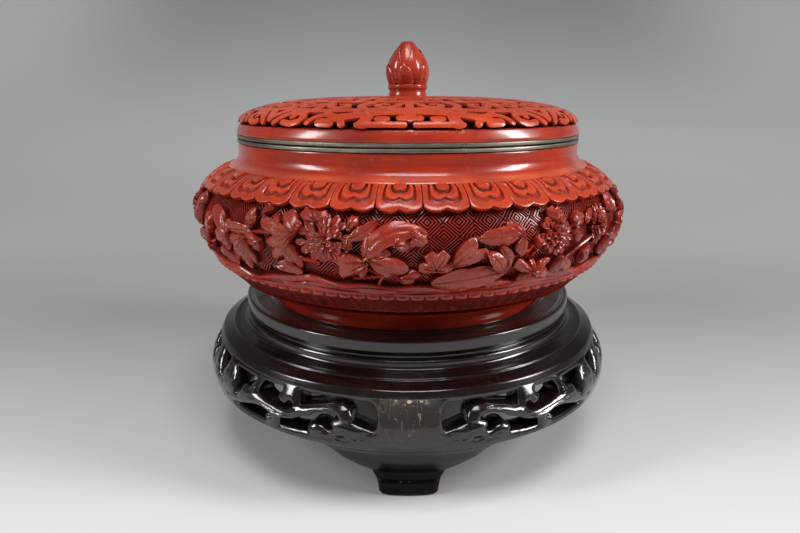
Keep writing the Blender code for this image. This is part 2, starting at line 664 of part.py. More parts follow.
def make_stand(parts, guides):
    """Turned top with a recess for the box, bottom rail, pierced apron and legs."""
    recess = FOOT_RADIUS + RECESS_GAP
    ring_low = STAND_HEIGHT - RING_FACE
    lip_low = SHOULDER_LEVEL - SHOULDER_LIP
    board_low = STAND_HEIGHT - RECESS_DEPTH - BOARD_THICKNESS
    inner = SHOULDER_RADIUS - SHOULDER_WALL
    dish = STAND_HEIGHT - DISH_DEPTH
    recess_floor = STAND_HEIGHT - RECESS_DEPTH
    ring_top = RING_RADIUS - RING_BEVEL
    profile = [(0.0, recess_floor), (recess, recess_floor), (recess, STAND_HEIGHT),
               (recess + BEAD_WIDTH, dish), (ring_top - BEAD_WIDTH, dish),
               (ring_top, STAND_HEIGHT), (RING_RADIUS, STAND_HEIGHT - RING_BEVEL), (RING_RADIUS, ring_low),
               (RING_RADIUS - GROOVE_DEPTH, GROOVE_LOW),
               (RING_RADIUS + TORUS_SWELL, GROOVE_LOW - TORUS_CREST * TORUS_HEIGHT),
               (STEP_RADIUS, TORUS_LOW), (SHOULDER_RADIUS, SHOULDER_LEVEL),
               (SHOULDER_RADIUS, lip_low), (inner, lip_low), (CEILING_RADIUS, board_low), (0.0, board_low)]
    stand = turned("stand", profile, STAND_SEGMENTS, parts)
    rail_top = APRON_LOW + RAIL_HEIGHT
    rail = [(apron_radius(rail_top), rail_top), (apron_radius(APRON_LOW), APRON_LOW),
            (APRON_RADIUS - APRON_WALL, APRON_LOW), (APRON_RADIUS - APRON_WALL, rail_top)]
    turned("rail", rail, STAND_SEGMENTS, guides, closed=True)
    for leg in range(LEG_COUNT):
        turn = 2.0 * math.pi * leg / LEG_COUNT
        make_leg("leg_%d" % leg, turn, guides)
        for side, label in ((-1.0, "left"), (1.0, "right")):
            for bar, path in APRON_BARS.items():
                apron_bar("%s_%d_%s" % (bar, leg, label), path, side, turn, guides)
    unite(stand, guides, "carved apron")
    return stand


def main():
    clear_scene()
    parts = new_group("lacquer_box_and_stand")
    body_guides = new_group("belly carving")
    lid_guides = new_group("lid carving")
    stand_guides = new_group("stand carving")
    stand = make_stand(parts, stand_guides)
    body = make_body(parts, body_guides)
    body_rim = make_body_rim(parts)
    lid = make_lid(parts, lid_guides)
    lid_rim = make_lid_rim(parts)
    knob = make_knob(parts)
    for group in (body_guides, lid_guides, stand_guides):
        hide_group(group)
    stand.data.materials.append(finish("stand hardwood", DARK_WOOD, 0.25, 0.0))
    body.data.materials.append(finish("body cinnabar lacquer", LACQUER_RED, 0.3, 0.0))
    body_rim.data.materials.append(finish("body rim metal", METAL_GREY, 0.4, 1.0))
    lid.data.materials.append(finish("lid cinnabar lacquer", LACQUER_RED, 0.3, 0.0))
    lid_rim.data.materials.append(finish("lid rim metal", METAL_GREY, 0.4, 1.0))
    knob.data.materials.append(finish("knob cinnabar lacquer", LACQUER_RED, 0.35, 0.0))


main()
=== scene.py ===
import math

import bmesh
import bpy
import numpy as np
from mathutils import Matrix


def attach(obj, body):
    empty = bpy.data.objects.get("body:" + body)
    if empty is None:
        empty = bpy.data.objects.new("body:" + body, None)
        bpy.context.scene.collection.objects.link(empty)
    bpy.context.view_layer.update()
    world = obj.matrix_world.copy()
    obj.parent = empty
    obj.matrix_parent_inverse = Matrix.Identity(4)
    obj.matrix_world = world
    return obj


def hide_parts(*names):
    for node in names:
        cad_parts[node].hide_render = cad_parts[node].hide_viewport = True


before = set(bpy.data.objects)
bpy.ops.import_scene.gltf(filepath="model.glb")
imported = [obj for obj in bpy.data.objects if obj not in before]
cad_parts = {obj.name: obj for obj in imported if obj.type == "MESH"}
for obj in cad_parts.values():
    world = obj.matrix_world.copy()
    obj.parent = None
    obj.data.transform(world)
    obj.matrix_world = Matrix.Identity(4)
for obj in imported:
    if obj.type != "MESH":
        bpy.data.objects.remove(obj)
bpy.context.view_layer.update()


# The photographer's camera, about level with the lid's top and a third of a metre in front of the box's
# axis, tilted sixteen degrees down. Its place is an estimate from the photo.
lens = bpy.data.cameras.new("photo camera")
lens.lens = 27.0
lens.sensor_width = 36.0
camera = bpy.data.objects.new("photo camera", lens)
camera.location = (-0.00396, -0.3267, 0.1760)
camera.rotation_euler = (math.radians(74.19), 0.0, 0.0)
bpy.context.scene.collection.objects.link(camera)
bpy.context.scene.camera = camera


# The paper sweep that the box stands on, lit by two tall soft boxes and a broad soft light over the camera.
# Its colour is painted light and shade: near white at the front, mid grey where it rises behind and lighter
# again high up, with a painted shadow in the middle of the rise, painted light high at its sides and painted
# shade to the right. Shapes are worked out in millimetres, and lights and shaders in metres.
MM = 0.001


def add_node(tree, kind, inputs=None, **settings):
    """Shader node with its settings, and its inputs set to values or linked to other nodes' outputs."""
    node = tree.nodes.new(kind)
    for title, value in settings.items():
        setattr(node, title, value)
    for title, value in (inputs or {}).items():
        if isinstance(value, bpy.types.NodeSocket):
            tree.links.new(value, node.inputs[title])
        else:
            node.inputs[title].default_value = value
    return node


def new_material(name, **principled):
    """Material with a Principled BSDF whose sockets are set, and its node tree and shader."""
    material = bpy.data.materials.new(name)
    material.use_nodes = True
    tree = material.node_tree
    shader = tree.nodes["Principled BSDF"]
    for title, value in principled.items():
        shader.inputs[title.replace("_", " ")].default_value = value
    return material, tree, shader


def in_range(tree, value, low, high, to_low=0.0, to_high=1.0):
    """Value stretched from one range to another and clamped, with eased ends."""
    return add_node(tree, "ShaderNodeMapRange", {"Value": value, "From Min": low, "From Max": high,
                                                 "To Min": to_low, "To Max": to_high},
                    interpolation_type="SMOOTHSTEP").outputs["Result"]


def blend(tree, share, first, second):
    """Two colours blended by a share."""
    inputs = {0: share}
    for title, value in ((6, first), (7, second)):
        inputs[title] = value if isinstance(value, bpy.types.NodeSocket) else (*value, 1.0)
    return add_node(tree, "ShaderNodeMix", inputs, data_type="RGBA").outputs[2]


def cloudy(tree, place, scale, detail=3.0, distortion=0.0):
    """Noise from 0 to 1 at a place, with its scale in features a metre."""
    return add_node(tree, "ShaderNodeTexNoise", {"Vector": place, "Scale": scale, "Detail": detail,
                                                 "Distortion": distortion}).outputs["Fac"]


def calc(tree, operation, result, *others):
    """Math node on a value alone, or a chain of them that takes in each of the other values."""
    for inputs in [{1: other} for other in others] or [{}]:
        result = add_node(tree, "ShaderNodeMath", {0: result, **inputs}, operation=operation).outputs[0]
    return result


def apart(tree, value, middle):
    """Distance of a value from a middle one."""
    return calc(tree, "ABSOLUTE", calc(tree, "SUBTRACT", value, middle))


def object_place(tree):
    """Place in the object's own coordinates, as a vector and as its X, Y and Z."""
    place = add_node(tree, "ShaderNodeTexCoord").outputs["Object"]
    return place, *add_node(tree, "ShaderNodeSeparateXYZ", {"Vector": place}).outputs


SWEEP_START, SWEEP_BEND = 300.0, 1700.0
sweep_profile = np.array([(-3000.0, 0.0), (SWEEP_START, 0.0)]
                         + [(SWEEP_START + SWEEP_BEND * math.sin(t), SWEEP_BEND * (1.0 - math.cos(t)))
                            for t in np.linspace(0.05, math.pi / 2, 24)]
                         + [(SWEEP_START + SWEEP_BEND, 4000.0)]) * MM
sweep_mesh = bpy.data.meshes.new("paper sweep")
sweep_mesh.from_pydata([(x, y, z) for y, z in sweep_profile for x in (-4.0, 4.0)], [],
                       [(2 * i, 2 * i + 1, 2 * i + 3, 2 * i + 2) for i in range(len(sweep_profile) - 1)])
sweep_mesh.shade_smooth()
sweep = bpy.data.objects.new("paper_sweep", sweep_mesh)
bpy.context.scene.collection.objects.link(sweep)
paper, tree, shader = new_material("matt paper", Roughness=0.9)
place, right, back, _ = object_place(tree)
aside = calc(tree, "ABSOLUTE", right)
# Painted light and shade: the ramps from near white to grey and up again, the dark patch in the middle of the
# rise, the light at its upper sides and the darkening to the right stand in for how the lamps fall; only the
# faint mottle is the paper's own.
paper_and_painted_light = blend(tree, in_range(tree, back, -0.2, 0.2), (0.65, 0.65, 0.645), (0.30, 0.30, 0.295))
for share, shade in (
        (in_range(tree, back, 0.22, 0.46), (0.375, 0.375, 0.37)),
        (in_range(tree, back, 0.4, 1.5), (0.70, 0.71, 0.725)),
        (calc(tree, "MULTIPLY", in_range(tree, aside, 0.45, 1.15, 1.0, 0.0),
              in_range(tree, back, 0.7, 1.5, 0.0, 0.52)), (0.02, 0.012, 0.0)),
        (calc(tree, "MULTIPLY", in_range(tree, aside, 0.6, 1.15),
              in_range(tree, back, 0.7, 1.5, 0.0, 0.25)), (0.92, 0.97, 1.0)),
        (in_range(tree, right, 0.05, 0.3, 0.0, 0.09), (0.0, 0.0, 0.0))):
    paper_and_painted_light = blend(tree, share, paper_and_painted_light, shade)
mottle = in_range(tree, cloudy(tree, place, 6.0), 0.3, 0.7)
paper_and_painted_light = blend(tree, mottle, paper_and_painted_light, blend(tree, 0.03, paper_and_painted_light, (0.5, 0.5, 0.5)))
tree.links.new(paper_and_painted_light, shader.inputs["Base Color"])
sweep_mesh.materials.append(paper)

world = bpy.data.worlds.new("grey room")
bpy.context.scene.world = world
world.use_nodes = True
background = world.node_tree.nodes["Background"]
background.inputs["Color"].default_value = (0.84, 0.84, 0.84, 1.0)
background.inputs["Strength"].default_value = 0.175
bpy.context.scene.view_settings.view_transform = "Standard"


AIM_LEVEL = 0.12


def soft_box(name, azimuth, elevation, distance, width, height, power):
    """Rectangular light at an azimuth in degrees from the front, positive to the right, and an elevation,
    facing a point on the box's axis."""
    lamp = bpy.data.lights.new(name, "AREA")
    lamp.shape = "RECTANGLE"
    lamp.size, lamp.size_y, lamp.energy = width, height, power
    item = bpy.data.objects.new(name, lamp)
    turn, rise = math.radians(azimuth), math.radians(elevation)
    flat = distance * math.cos(rise)
    item.location = (flat * math.sin(turn), -flat * math.cos(turn), AIM_LEVEL + distance * math.sin(rise))
    item.rotation_euler = (math.radians(90.0) - rise, 0.0, turn)
    bpy.context.scene.collection.objects.link(item)


soft_box("left soft box", -67.0, 27.0, 1.3, 0.26, 0.56, 9.2)
soft_box("right soft box", 74.0, 27.0, 1.3, 0.30, 0.62, 15.5)
soft_box("front soft box", 8.0, 69.0, 1.6, 0.8, 0.6, 15.0)


# The stand's board, turned from dark hardwood: a recess that takes the box's foot, a shallow dish
# between two beads, a flat ring face, a groove, a torus and a sloping shoulder that carries the apron.
def eased(corners, steps=4):
    """Profile through corners of (radius, height, ease), each rounded by a parabola as far as its ease."""
    corners = np.array(corners, float)
    share = np.linspace(0.0, 1.0, steps + 1)[:, None]
    points = [corners[:1, :2]]
    for before, here, after in zip(corners, corners[1:], corners[2:]):
        start = here[:2] + (before - here)[:2] * here[2] / np.hypot(*(before - here)[:2])
        end = here[:2] + (after - here)[:2] * here[2] / np.hypot(*(after - here)[:2])
        if here[2] > 0.0:
            points.append((1 - share) ** 2 * start + 2 * share * (1 - share) * here[:2] + share ** 2 * end)
        else:
            points.append(here[None, :2])
    return np.concatenate(points + [corners[-1:, :2]])


def around(radius, azimuth, height):
    """Points at a radius and an azimuth in radians about the box's axis."""
    radius, azimuth, height = np.broadcast_arrays(radius, azimuth, height)
    return np.stack([radius * np.sin(azimuth), -radius * np.cos(azimuth), height], axis=-1)


def turned(profile, columns=192):
    """Profile of (radius, height), run down the outer side, carried once round the axis."""
    azimuth = np.radians(np.linspace(0.0, 360.0, columns + 1))[None, :]
    radius, height = np.asarray(profile, float).T
    return around(radius[:, None], azimuth, height[:, None])


def quads(rows, columns, start=0):
    """Faces of a grid whose points are numbered row by row: each runs down a row, across and back up."""
    number = np.arange(rows * columns).reshape(rows, columns) + start
    corners = number[:-1, :-1], number[1:, :-1], number[1:, 1:], number[:-1, 1:]
    return np.stack(corners, axis=-1).reshape(-1, 4)


def finished(name, shape, material, crease, slot, *nodes):
    """Object of a bmesh: doubles merged, smooth but for creases, riding on the part in place of nodes."""
    mesh = bpy.data.meshes.new(name)
    bmesh.ops.remove_doubles(shape, verts=shape.verts, dist=0.00001)
    loose = [vertex for vertex in shape.verts if not vertex.link_faces]
    bmesh.ops.delete(shape, geom=loose, context="VERTS")
    shape.to_mesh(mesh)
    shape.free()
    mesh.shade_smooth()
    mesh.set_sharp_from_angle(angle=math.radians(crease))
    mesh.materials.append(material)
    item = bpy.data.objects.new(name, mesh)
    bpy.context.scene.collection.objects.link(item)
    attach(item, "root")
    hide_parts(*nodes)


def skin(name, patches, material, crease, slot, *nodes):
    """Object of grids of points. A patch is (points, depth, edge highlight), and its own triangles if they
    aren't the grid's quads: depth runs from 0 at the ground of a carving to 1 at its top, and where it is low
    the lacquer paints shade; the edge highlight is 1 on a cut edge, where the lacquer paints a highlight."""
    points, faces, depth, painted_edge_highlight, count = [], [], [], [], 0
    for grid, level, edge, *own in patches:
        rows, columns = grid.shape[:2]
        points.append(grid.reshape(-1, 3))
        faces += (own[0] + count if own else quads(rows, columns, count)).tolist()
        depth.append(np.broadcast_to(level, (rows, columns)).ravel())
        painted_edge_highlight.append(np.broadcast_to(edge, (rows, columns)).ravel())
        count += rows * columns
    mesh = bpy.data.meshes.new(name + " grid")
    mesh.from_pydata(np.concatenate(points) * MM, [], faces)
    for title, values in (("depth", depth), ("painted_edge_highlight", painted_edge_highlight)):
        attribute = mesh.attributes.new(title, "FLOAT", "POINT")
        attribute.data.foreach_set("value", np.concatenate(values).astype(np.float32))
    shape = bmesh.new()
    shape.from_mesh(mesh)
    finished(name, shape, material, crease, slot, *nodes)


def stretched(tree, place, rotation, scale):
    """Place turned and scaled, so that a noise on it is stretched along a direction."""
    return add_node(tree, "ShaderNodeMapping",
                    {"Vector": place, "Rotation": rotation, "Scale": scale}).outputs["Vector"]


def wear_group():
    """Masks from a place: Cloud is a soft mottle, Streak runs round the turned piece, and Scratch is a web
    of hairlines, each a thin band about the middle value of a stretched and twisted noise."""
    group = bpy.data.node_groups.new("handling wear", "ShaderNodeTree")
    group.interface.new_socket(name="Place", in_out="INPUT", socket_type="NodeSocketVector")
    for title in ("Cloud", "Streak", "Scratch"):
        group.interface.new_socket(name=title, in_out="OUTPUT", socket_type="NodeSocketFloat")
    place = group.nodes.new("NodeGroupInput").outputs["Place"]
    leave = group.nodes.new("NodeGroupOutput")
    cloud = in_range(group, cloudy(group, place, 38.0, 4.0, 0.3), 0.32, 0.68)
    flat = stretched(group, place, (0.0, 0.0, 0.0), (1.0, 1.0, 24.0))
    streak = in_range(group, cloudy(group, flat, 55.0, 5.0, 0.2), 0.35, 0.65)
    hairlines = []
    for turn in (0.5, 1.7, 2.6):
        spun = stretched(group, place, (turn, 0.4 * turn, 1.3 * turn), (1.0, 0.09, 1.0))
        away = apart(group, cloudy(group, spun, 240.0, 1.0, 0.35), 0.5)
        hairlines.append(in_range(group, away, 0.0, 0.012, 1.0, 0.0))
    broken = in_range(group, cloudy(group, place, 70.0, 2.0), 0.5, 0.62)
    scratch = calc(group, "MULTIPLY", calc(group, "MAXIMUM", *hairlines), broken)
    for title, value in (("Cloud", cloud), ("Streak", streak), ("Scratch", scratch)):
        group.links.new(value, leave.inputs[title])
    return group


handling_wear = wear_group()


def worn(tree, place):
    """The three wear masks of a place: cloud, streak and scratch."""
    node = add_node(tree, "ShaderNodeGroup", node_tree=handling_wear)
    tree.links.new(place, node.inputs["Place"])
    return node.outputs["Cloud"], node.outputs["Streak"], node.outputs["Scratch"]


def bumped(tree, shader, height, strength, distance):
    """Fine relief from a height, into the shader's normal."""
    node = add_node(tree, "ShaderNodeBump", {"Height": height, "Strength": strength, "Distance": distance})
    tree.links.new(node.outputs["Normal"], shader.inputs["Normal"])


def hardwood():
    """Near black polished hardwood: reddish grain along the turning, dull smudges and dull sides of the
    shoulder, and on the front panel and leg two edges rubbed to the pale wood and fine pale scratches,
    thin bands about the middle value of a noise stretched along the height."""
    material, tree, shader = new_material("polished hardwood", Coat_Roughness=0.1)
    place, x, y, z = object_place(tree)
    cloud, streak, scratch = worn(tree, place)
    aside = calc(tree, "ABSOLUTE", x)
    front = in_range(tree, y, -0.099, -0.088, 1.0, 0.0)
    panel = calc(tree, "MULTIPLY", in_range(tree, aside, 0.010, 0.019, 1.0, 0.0), front,
                 in_range(tree, z, 0.024, 0.036), in_range(tree, z, 0.054, 0.057, 1.0, 0.0))
    dull = calc(tree, "MULTIPLY", in_range(tree, z, 0.051, 0.054, 0.0, 0.75),
                in_range(tree, z, 0.066, 0.068, 1.0, 0.0), in_range(tree, aside, 0.045, 0.085))
    hair = cloudy(tree, stretched(tree, place, (0.0, 0.35, 0.0), (1.0, 0.3, 0.2)), 300.0, 2.0, 1.6)
    patchy = in_range(tree, cloudy(tree, place, 90.0, 2.0), 0.44, 0.54)
    line = calc(tree, "MULTIPLY", in_range(tree, apart(tree, hair, 0.5), 0.002, 0.011, 1.0, 0.0), patchy,
                panel, in_range(tree, x, 0.002, 0.010, 1.0, 0.0),
                in_range(tree, z, 0.038, 0.048, 0.12, 1.0))
    dusty = calc(tree, "MULTIPLY", panel, 0.3)
    base = blend(tree, streak, (0.0032, 0.0018, 0.0018), (0.0105, 0.0042, 0.0036))
    for share, tint in ((in_range(tree, cloud, 0.2, 1.0, 0.0, 0.5), (0.0065, 0.0048, 0.0050)),
                        (dusty, (0.022, 0.016, 0.014)), (line, (0.24, 0.175, 0.10)),
                        (in_range(tree, scratch, 0.0, 1.0, 0.0, 0.16), (0.12, 0.09, 0.07))):
        base = blend(tree, share, base, tint)
    flecks = in_range(tree, cloudy(tree, place, 420.0, 2.0), 0.54, 0.6)
    for low, high, middle in ((0.0532, 0.0550, 0.0005), (0.0070, 0.0076, -0.0032)):
        rubbed = calc(tree, "MULTIPLY", flecks, in_range(tree, z, low, low + 0.0003),
                      in_range(tree, z, high, high + 0.0003, 1.0, 0.0),
                      in_range(tree, apart(tree, x, middle), 0.003, 0.009, 1.0, 0.0), front)
        base = blend(tree, rubbed, base, (0.42, 0.33, 0.19))
    tree.links.new(base, shader.inputs["Base Color"])
    rough = in_range(tree, cloud, 0.0, 1.0, 0.13, 0.24)
    tree.links.new(calc(tree, "ADD", rough, dusty), shader.inputs["Roughness"])
    sheen = calc(tree, "SUBTRACT", 1.0, dull)
    for title, least in (("Specular IOR Level", 0.07), ("Coat Weight", 0.03)):
        gloss = calc(tree, "MULTIPLY", in_range(tree, z, 0.029, 0.038, least, 0.5), sheen)
        tree.links.new(gloss, shader.inputs[title])
    bumped(tree, shader, streak, 0.1, 0.0004)
    return material


wood = hardwood()
BOARD = eased([
    (0.0, 72.4, 0), (73.4, 72.4, 0.5), (73.6, 74.6, 0.6), (75.4, 74.7, 0.8), (76.4, 73.6, 0.8),
    (84.0, 73.7, 0.6), (84.7, 74.3, 0.3), (85.3, 74.0, 0.2), (85.9, 74.9, 0.6), (88.2, 74.9, 1.0),
    (88.2, 69.5, 0.5), (87.4, 69.1, 0.3), (87.2, 68.3, 0.3), (86.0, 67.6, 0.5), (86.0, 66.2, 0.4),
    (88.6, 66.0, 1.4), (88.9, 62.2, 1.6), (90.2, 61.9, 0.3), (93.0, 61.3, 1.2), (96.0, 61.3, 0.5),
    (96.2, 60.5, 0.3), (101.6, 58.3, 0.6), (102.8, 55.3, 0.4), (102.4, 53.4, 0.3), (94.0, 53.4, 0.5),
    (94.0, 58.4, 1.0), (0.0, 58.4, 0)])
skin("stand_board", [(turned(BOARD, 256), 1.0, 0.0)], wood, 50.0, "hardwood", "stand")


# The pierced apron under the shoulder: scrolls, spikes and a bottom rail sawn and carved from the same
# wood, the same on either side of each leg. Openings run through it; grooves are cut in its face. Their
# lines go by azimuth, from the front to the right, and drop, the distance below the seam of the rims.
SEAM = 156.4
THIRD = 120.0
APRON_REACH, APRON_FOOT, APRON_TOP, APRON_WIDE, APRON_THICK = 108.7, 33.9, 55.0, 40.2, 11.0
APRON_BULGE, APRON_FALL = 6.1, 15.0
ROUNDING, ROUNDING_REACH, GROOVE_DEPTH, GROOVE_WIDTH = 1.7, 3.0, 0.75, 0.45
DEGREE_RUN = math.radians(APRON_REACH)
OPENINGS = (
    ((7.2, 107), (7.9, 104.3), (10, 102.3), (16, 102.2), (27.3, 102.6, 1), (26.9, 108.6, 1), (24, 107.6),
     (20, 106.1), (17, 105.1), (14.9, 105.9), (13.7, 108), (13.2, 111.8, 1), (10.8, 113.2),
     (8.3, 114.6, 1), (7.2, 112.5)),
    ((16, 111, 1), (16.8, 108.9), (18.5, 108.2), (21, 108.8), (23, 110), (23.8, 111.2), (25.5, 112),
     (28, 114.3), (30.5, 115.5), (32, 115.8, 1), (32.3, 118.5), (32.4, 120.3, 1), (28, 119.7),
     (23.3, 118.8, 1), (23.9, 116.6), (22.6, 114.8), (21, 114.6), (19, 116.6, 1), (17.5, 115),
     (17.9, 112.6), (17, 111.6)),
    ((32.9, 102.9, 1), (39.2, 103.4, 1), (40.2, 106.6), (40.4, 109.6, 1), (38, 111), (34.5, 112.1),
     (31, 112.5), (29.1, 111), (28.5, 108.8), (29.6, 107.3), (31, 109, 1), (32.4, 108.4), (33.1, 106.8),
     (32.2, 104.8)),
    ((41.6, 103.8, 1), (47, 103.6), (51.9, 104.0, 1), (50.8, 107.6), (50.1, 110), (49.6, 113),
     (49, 115, 1), (47.5, 113), (46.3, 109.6), (45, 108.6), (43.5, 108.9), (42.8, 107)),
    ((34.6, 117.4, 1), (35.2, 116.2), (36.2, 115.0), (38, 114.4), (41, 114.8), (44.5, 116.8),
     (47.5, 118.6), (49.3, 119.3, 1), (49, 120.4, 1), (43, 120.4), (36.4, 120.2, 1), (36.9, 118.6),
     (36.2, 116.9)))
MIDDLE_OPENING = (
    (56.6, 103.2, 1), (60, 103.0), (63.4, 103.2, 1), (62.6, 107), (61.2, 111), (60, 114.4, 1), (58.8, 111),
    (57.4, 107))
FACE_CUTS = (
    ((44.4, 109.4), (44.8, 112), (44.2, 115)), ((51.8, 105.5), (52.0, 110), (51.2, 116.5)),
    ((54.0, 104), (54.2, 110), (53.0, 118)), ((56.0, 106), (57.2, 112), (56.4, 119)),
    ((13.5, 119.8), (15, 117.3), (18, 117.6), (20, 119.6)), ((14.8, 120.0), (16.4, 118.6), (18, 119.9)),
    ((7.4, 117), (9.6, 114.9), (12.2, 115.6), (14, 118.4)), ((8.2, 119.4), (10, 116.6), (12.2, 118.2)),
    ((14.9, 107.5), (15.4, 110.4), (14.2, 112.6)), ((24.5, 109.8), (27.8, 112.4), (31.2, 114)),
    ((32.9, 113.8), (38, 112.4), (42, 111.8)), ((21.8, 116.2), (20.9, 117.2), (22.2, 118.4)))


def outline_spline(curve, points, mirrored):
    """Closed Bezier line through (azimuth, drop) points, laid flat: a degree of azimuth runs DEGREE_RUN
    across. A third value marks a sharp corner."""
    spline = curve.splines.new("BEZIER")
    spline.bezier_points.add(len(points) - 1)
    spline.use_cyclic_u = True
    spline.resolution_u = 4
    for bezier, (azimuth, drop, *corner) in zip(spline.bezier_points, points):
        flat = THIRD - azimuth if mirrored else azimuth
        bezier.co = (flat * DEGREE_RUN, SEAM - drop, 0.0)
        bezier.handle_left_type = bezier.handle_right_type = "VECTOR" if corner else "AUTO"


def apron_radius(level):
    """Outer radius of the apron: a parabola about its widest level."""
    return APRON_REACH - APRON_BULGE * ((level - APRON_WIDE) / APRON_FALL) ** 2


def away_from(points, marks):
    """Distance from each flat point to the nearest mark, worked out in blocks."""
    return np.concatenate([np.sqrt(((block[:, None] - marks[None]) ** 2).sum(-1).min(1))
                           for block in np.array_split(points, max(1, len(points) // 800))])


def apron_shape():
    """Third of the apron: a flat pierced board, cut into small faces, its front rounded towards every
    opening and grooved along the cuts, then bent round the axis; three of them close the ring."""
    curve = bpy.data.curves.new("apron lines", "CURVE")
    curve.dimensions, curve.fill_mode = "2D", "BOTH"
    curve.extrude, curve.bevel_depth, curve.bevel_resolution = 0.5 * APRON_THICK - 0.4, 0.4, 1
    low, high, end = SEAM - APRON_FOOT, SEAM - APRON_TOP, THIRD + 2.0
    outline_spline(curve, ((-2.0, low, 1), (end, low, 1), (end, high, 1), (-2.0, high, 1)), False)
    outline_spline(curve, MIDDLE_OPENING, False)
    for opening in OPENINGS:
        for mirrored in (False, True):
            outline_spline(curve, opening, mirrored)
    board = bpy.data.objects.new("apron lines", curve)
    bpy.context.scene.collection.objects.link(board)
    graph = bpy.context.evaluated_depsgraph_get()
    shape = bmesh.new()
    shape.from_mesh(bpy.data.meshes.new_from_object(board.evaluated_get(graph)))
    bpy.data.objects.remove(board)
    bmesh.ops.remove_doubles(shape, verts=shape.verts, dist=0.001)
    cuts = [((x, 0.0, 0.0), (1.0, 0.0, 0.0)) for x in np.arange(1.0, THIRD, 1.0) * DEGREE_RUN]
    cuts += [((0.0, y, 0.0), (0.0, 1.0, 0.0)) for y in np.arange(APRON_FOOT + 1.5, APRON_TOP, 1.5)]
    ends = [((0.0, 0.0, 0.0), (-1.0, 0.0, 0.0)), ((THIRD * DEGREE_RUN, 0.0, 0.0), (1.0, 0.0, 0.0))]
    for spot, facing in cuts + ends:
        bmesh.ops.bisect_plane(shape, geom=shape.verts[:] + shape.edges[:] + shape.faces[:], plane_co=spot,
                               plane_no=facing, clear_outer=(spot, facing) in ends)
    mesh = bpy.data.meshes.new("apron flat")
    shape.to_mesh(mesh)
    shape.free()
    flat = np.empty(len(mesh.vertices) * 3)
    mesh.vertices.foreach_get("co", flat)
    flat = flat.reshape(-1, 3)
    inner = (flat[:, 1] > APRON_FOOT + 0.6) & (flat[:, 1] < APRON_TOP - 0.6)
    walls = inner & (np.abs(flat[:, 2]) < 0.5 * APRON_THICK - 0.3)
    walls &= (flat[:, 0] > 1) & (flat[:, 0] < (THIRD - 1.0) * DEGREE_RUN)
    to_opening = away_from(flat[:, :2], flat[walls, :2])
    rounding = ROUNDING * (1.0 - np.clip(to_opening / ROUNDING_REACH, 0.0, 1.0)) ** 2
    azimuth = flat[:, 0] / DEGREE_RUN
    panel = np.clip((np.minimum(azimuth, THIRD - azimuth) - 6.6) / 1.2, 0.0, 1.0)
    marks = []
    for cut in FACE_CUTS:
        cut = np.array(cut, float)
        steps = np.linspace(0, len(cut) - 1, 30)
        turn, drop = [np.interp(steps, np.arange(len(cut)), cut[:, k]) for k in (0, 1)]
        marks += [np.stack([side * DEGREE_RUN, SEAM - drop], axis=-1) for side in (turn, THIRD - turn)]
    groove = GROOVE_DEPTH * np.exp(-(away_from(flat[:, :2], np.concatenate(marks)) / GROOVE_WIDTH) ** 2)
    front = np.clip((flat[:, 2] + 0.5 * APRON_THICK) / APRON_THICK, 0.0, 1.0)
    radius = apron_radius(flat[:, 1]) - (1.0 - front) * APRON_THICK - front * (rounding * panel + groove)
    shape = bmesh.new()
    for third in range(3):
        bent = around(radius, np.radians(azimuth + THIRD * third), flat[:, 1]) * MM
        mesh.vertices.foreach_set("co", bent.ravel())
        shape.from_mesh(mesh)
    bmesh.ops.recalc_face_normals(shape, faces=shape.faces)
    return shape


finished("stand_apron", apron_shape(), wood, 40.0, "hardwood", "stand")


# Three cabriole legs carved with the apron: wide knees under the rail, a concave run down to a narrow
# ankle, and a small square foot that turns outwards. Sections: level, outer radius, thickness, half width.
LEG = np.array([
    (35.3, 107.5, 7.0, 43.5), (32.5, 106.8, 7.1, 39.0), (29.8, 105.1, 7.5, 35.2), (23.7, 100.7, 8.5, 31.0),
    (17.6, 95.6, 10.0, 25.0), (12.9, 91.6, 12.0, 18.6), (12.1, 90.9, 12.0, 17.8), (7.9, 90.5, 13.5, 15.6),
    (7.4, 91.1, 14.2, 15.2), (6.7, 91.7, 14.9, 15.0), (1.4, 91.6, 15.0, 14.2), (0.3, 91.0, 14.4, 13.4),
    (0.0, 90.2, 13.5, 12.6)])
SQUARENESS = 7


def leg_patches():
    """Each leg is a rounded oblong carried down its sections: the oblong is a circle pushed out to a
    square of power SQUARENESS, its width bent round the stand's axis."""
    steps = np.linspace(0, len(LEG) - 1, 4 * (len(LEG) - 1) + 1)
    level = np.interp(steps, np.arange(len(LEG)), LEG[:, 0])
    radius, thick, half = [np.interp(level, LEG[::-1, 0], LEG[::-1, k])[:, None] for k in (1, 2, 3)]
    turn = np.linspace(0.0, 2.0 * np.pi, 65)[None, :]
    size = (np.abs(np.cos(turn)) ** SQUARENESS + np.abs(np.sin(turn)) ** SQUARENESS) ** (-1.0 / SQUARENESS)
    across, through = -np.sin(turn) * size, np.cos(turn) * size
    azimuth = -across * half / radius
    reach = radius - 0.5 * thick + 0.5 * thick * through
    patches = []
    for leg in range(3):
        sides = around(reach, azimuth + math.radians(THIRD * leg), level[:, None])
        under = np.stack([sides[-1], np.broadcast_to(sides[-1].mean(0), sides[-1].shape)])
        patches += [(sides, 1.0, 0.0), (under, 1.0, 0.0)]
    return patches


skin("stand_legs", leg_patches(), wood, 40.0, "hardwood", "stand")


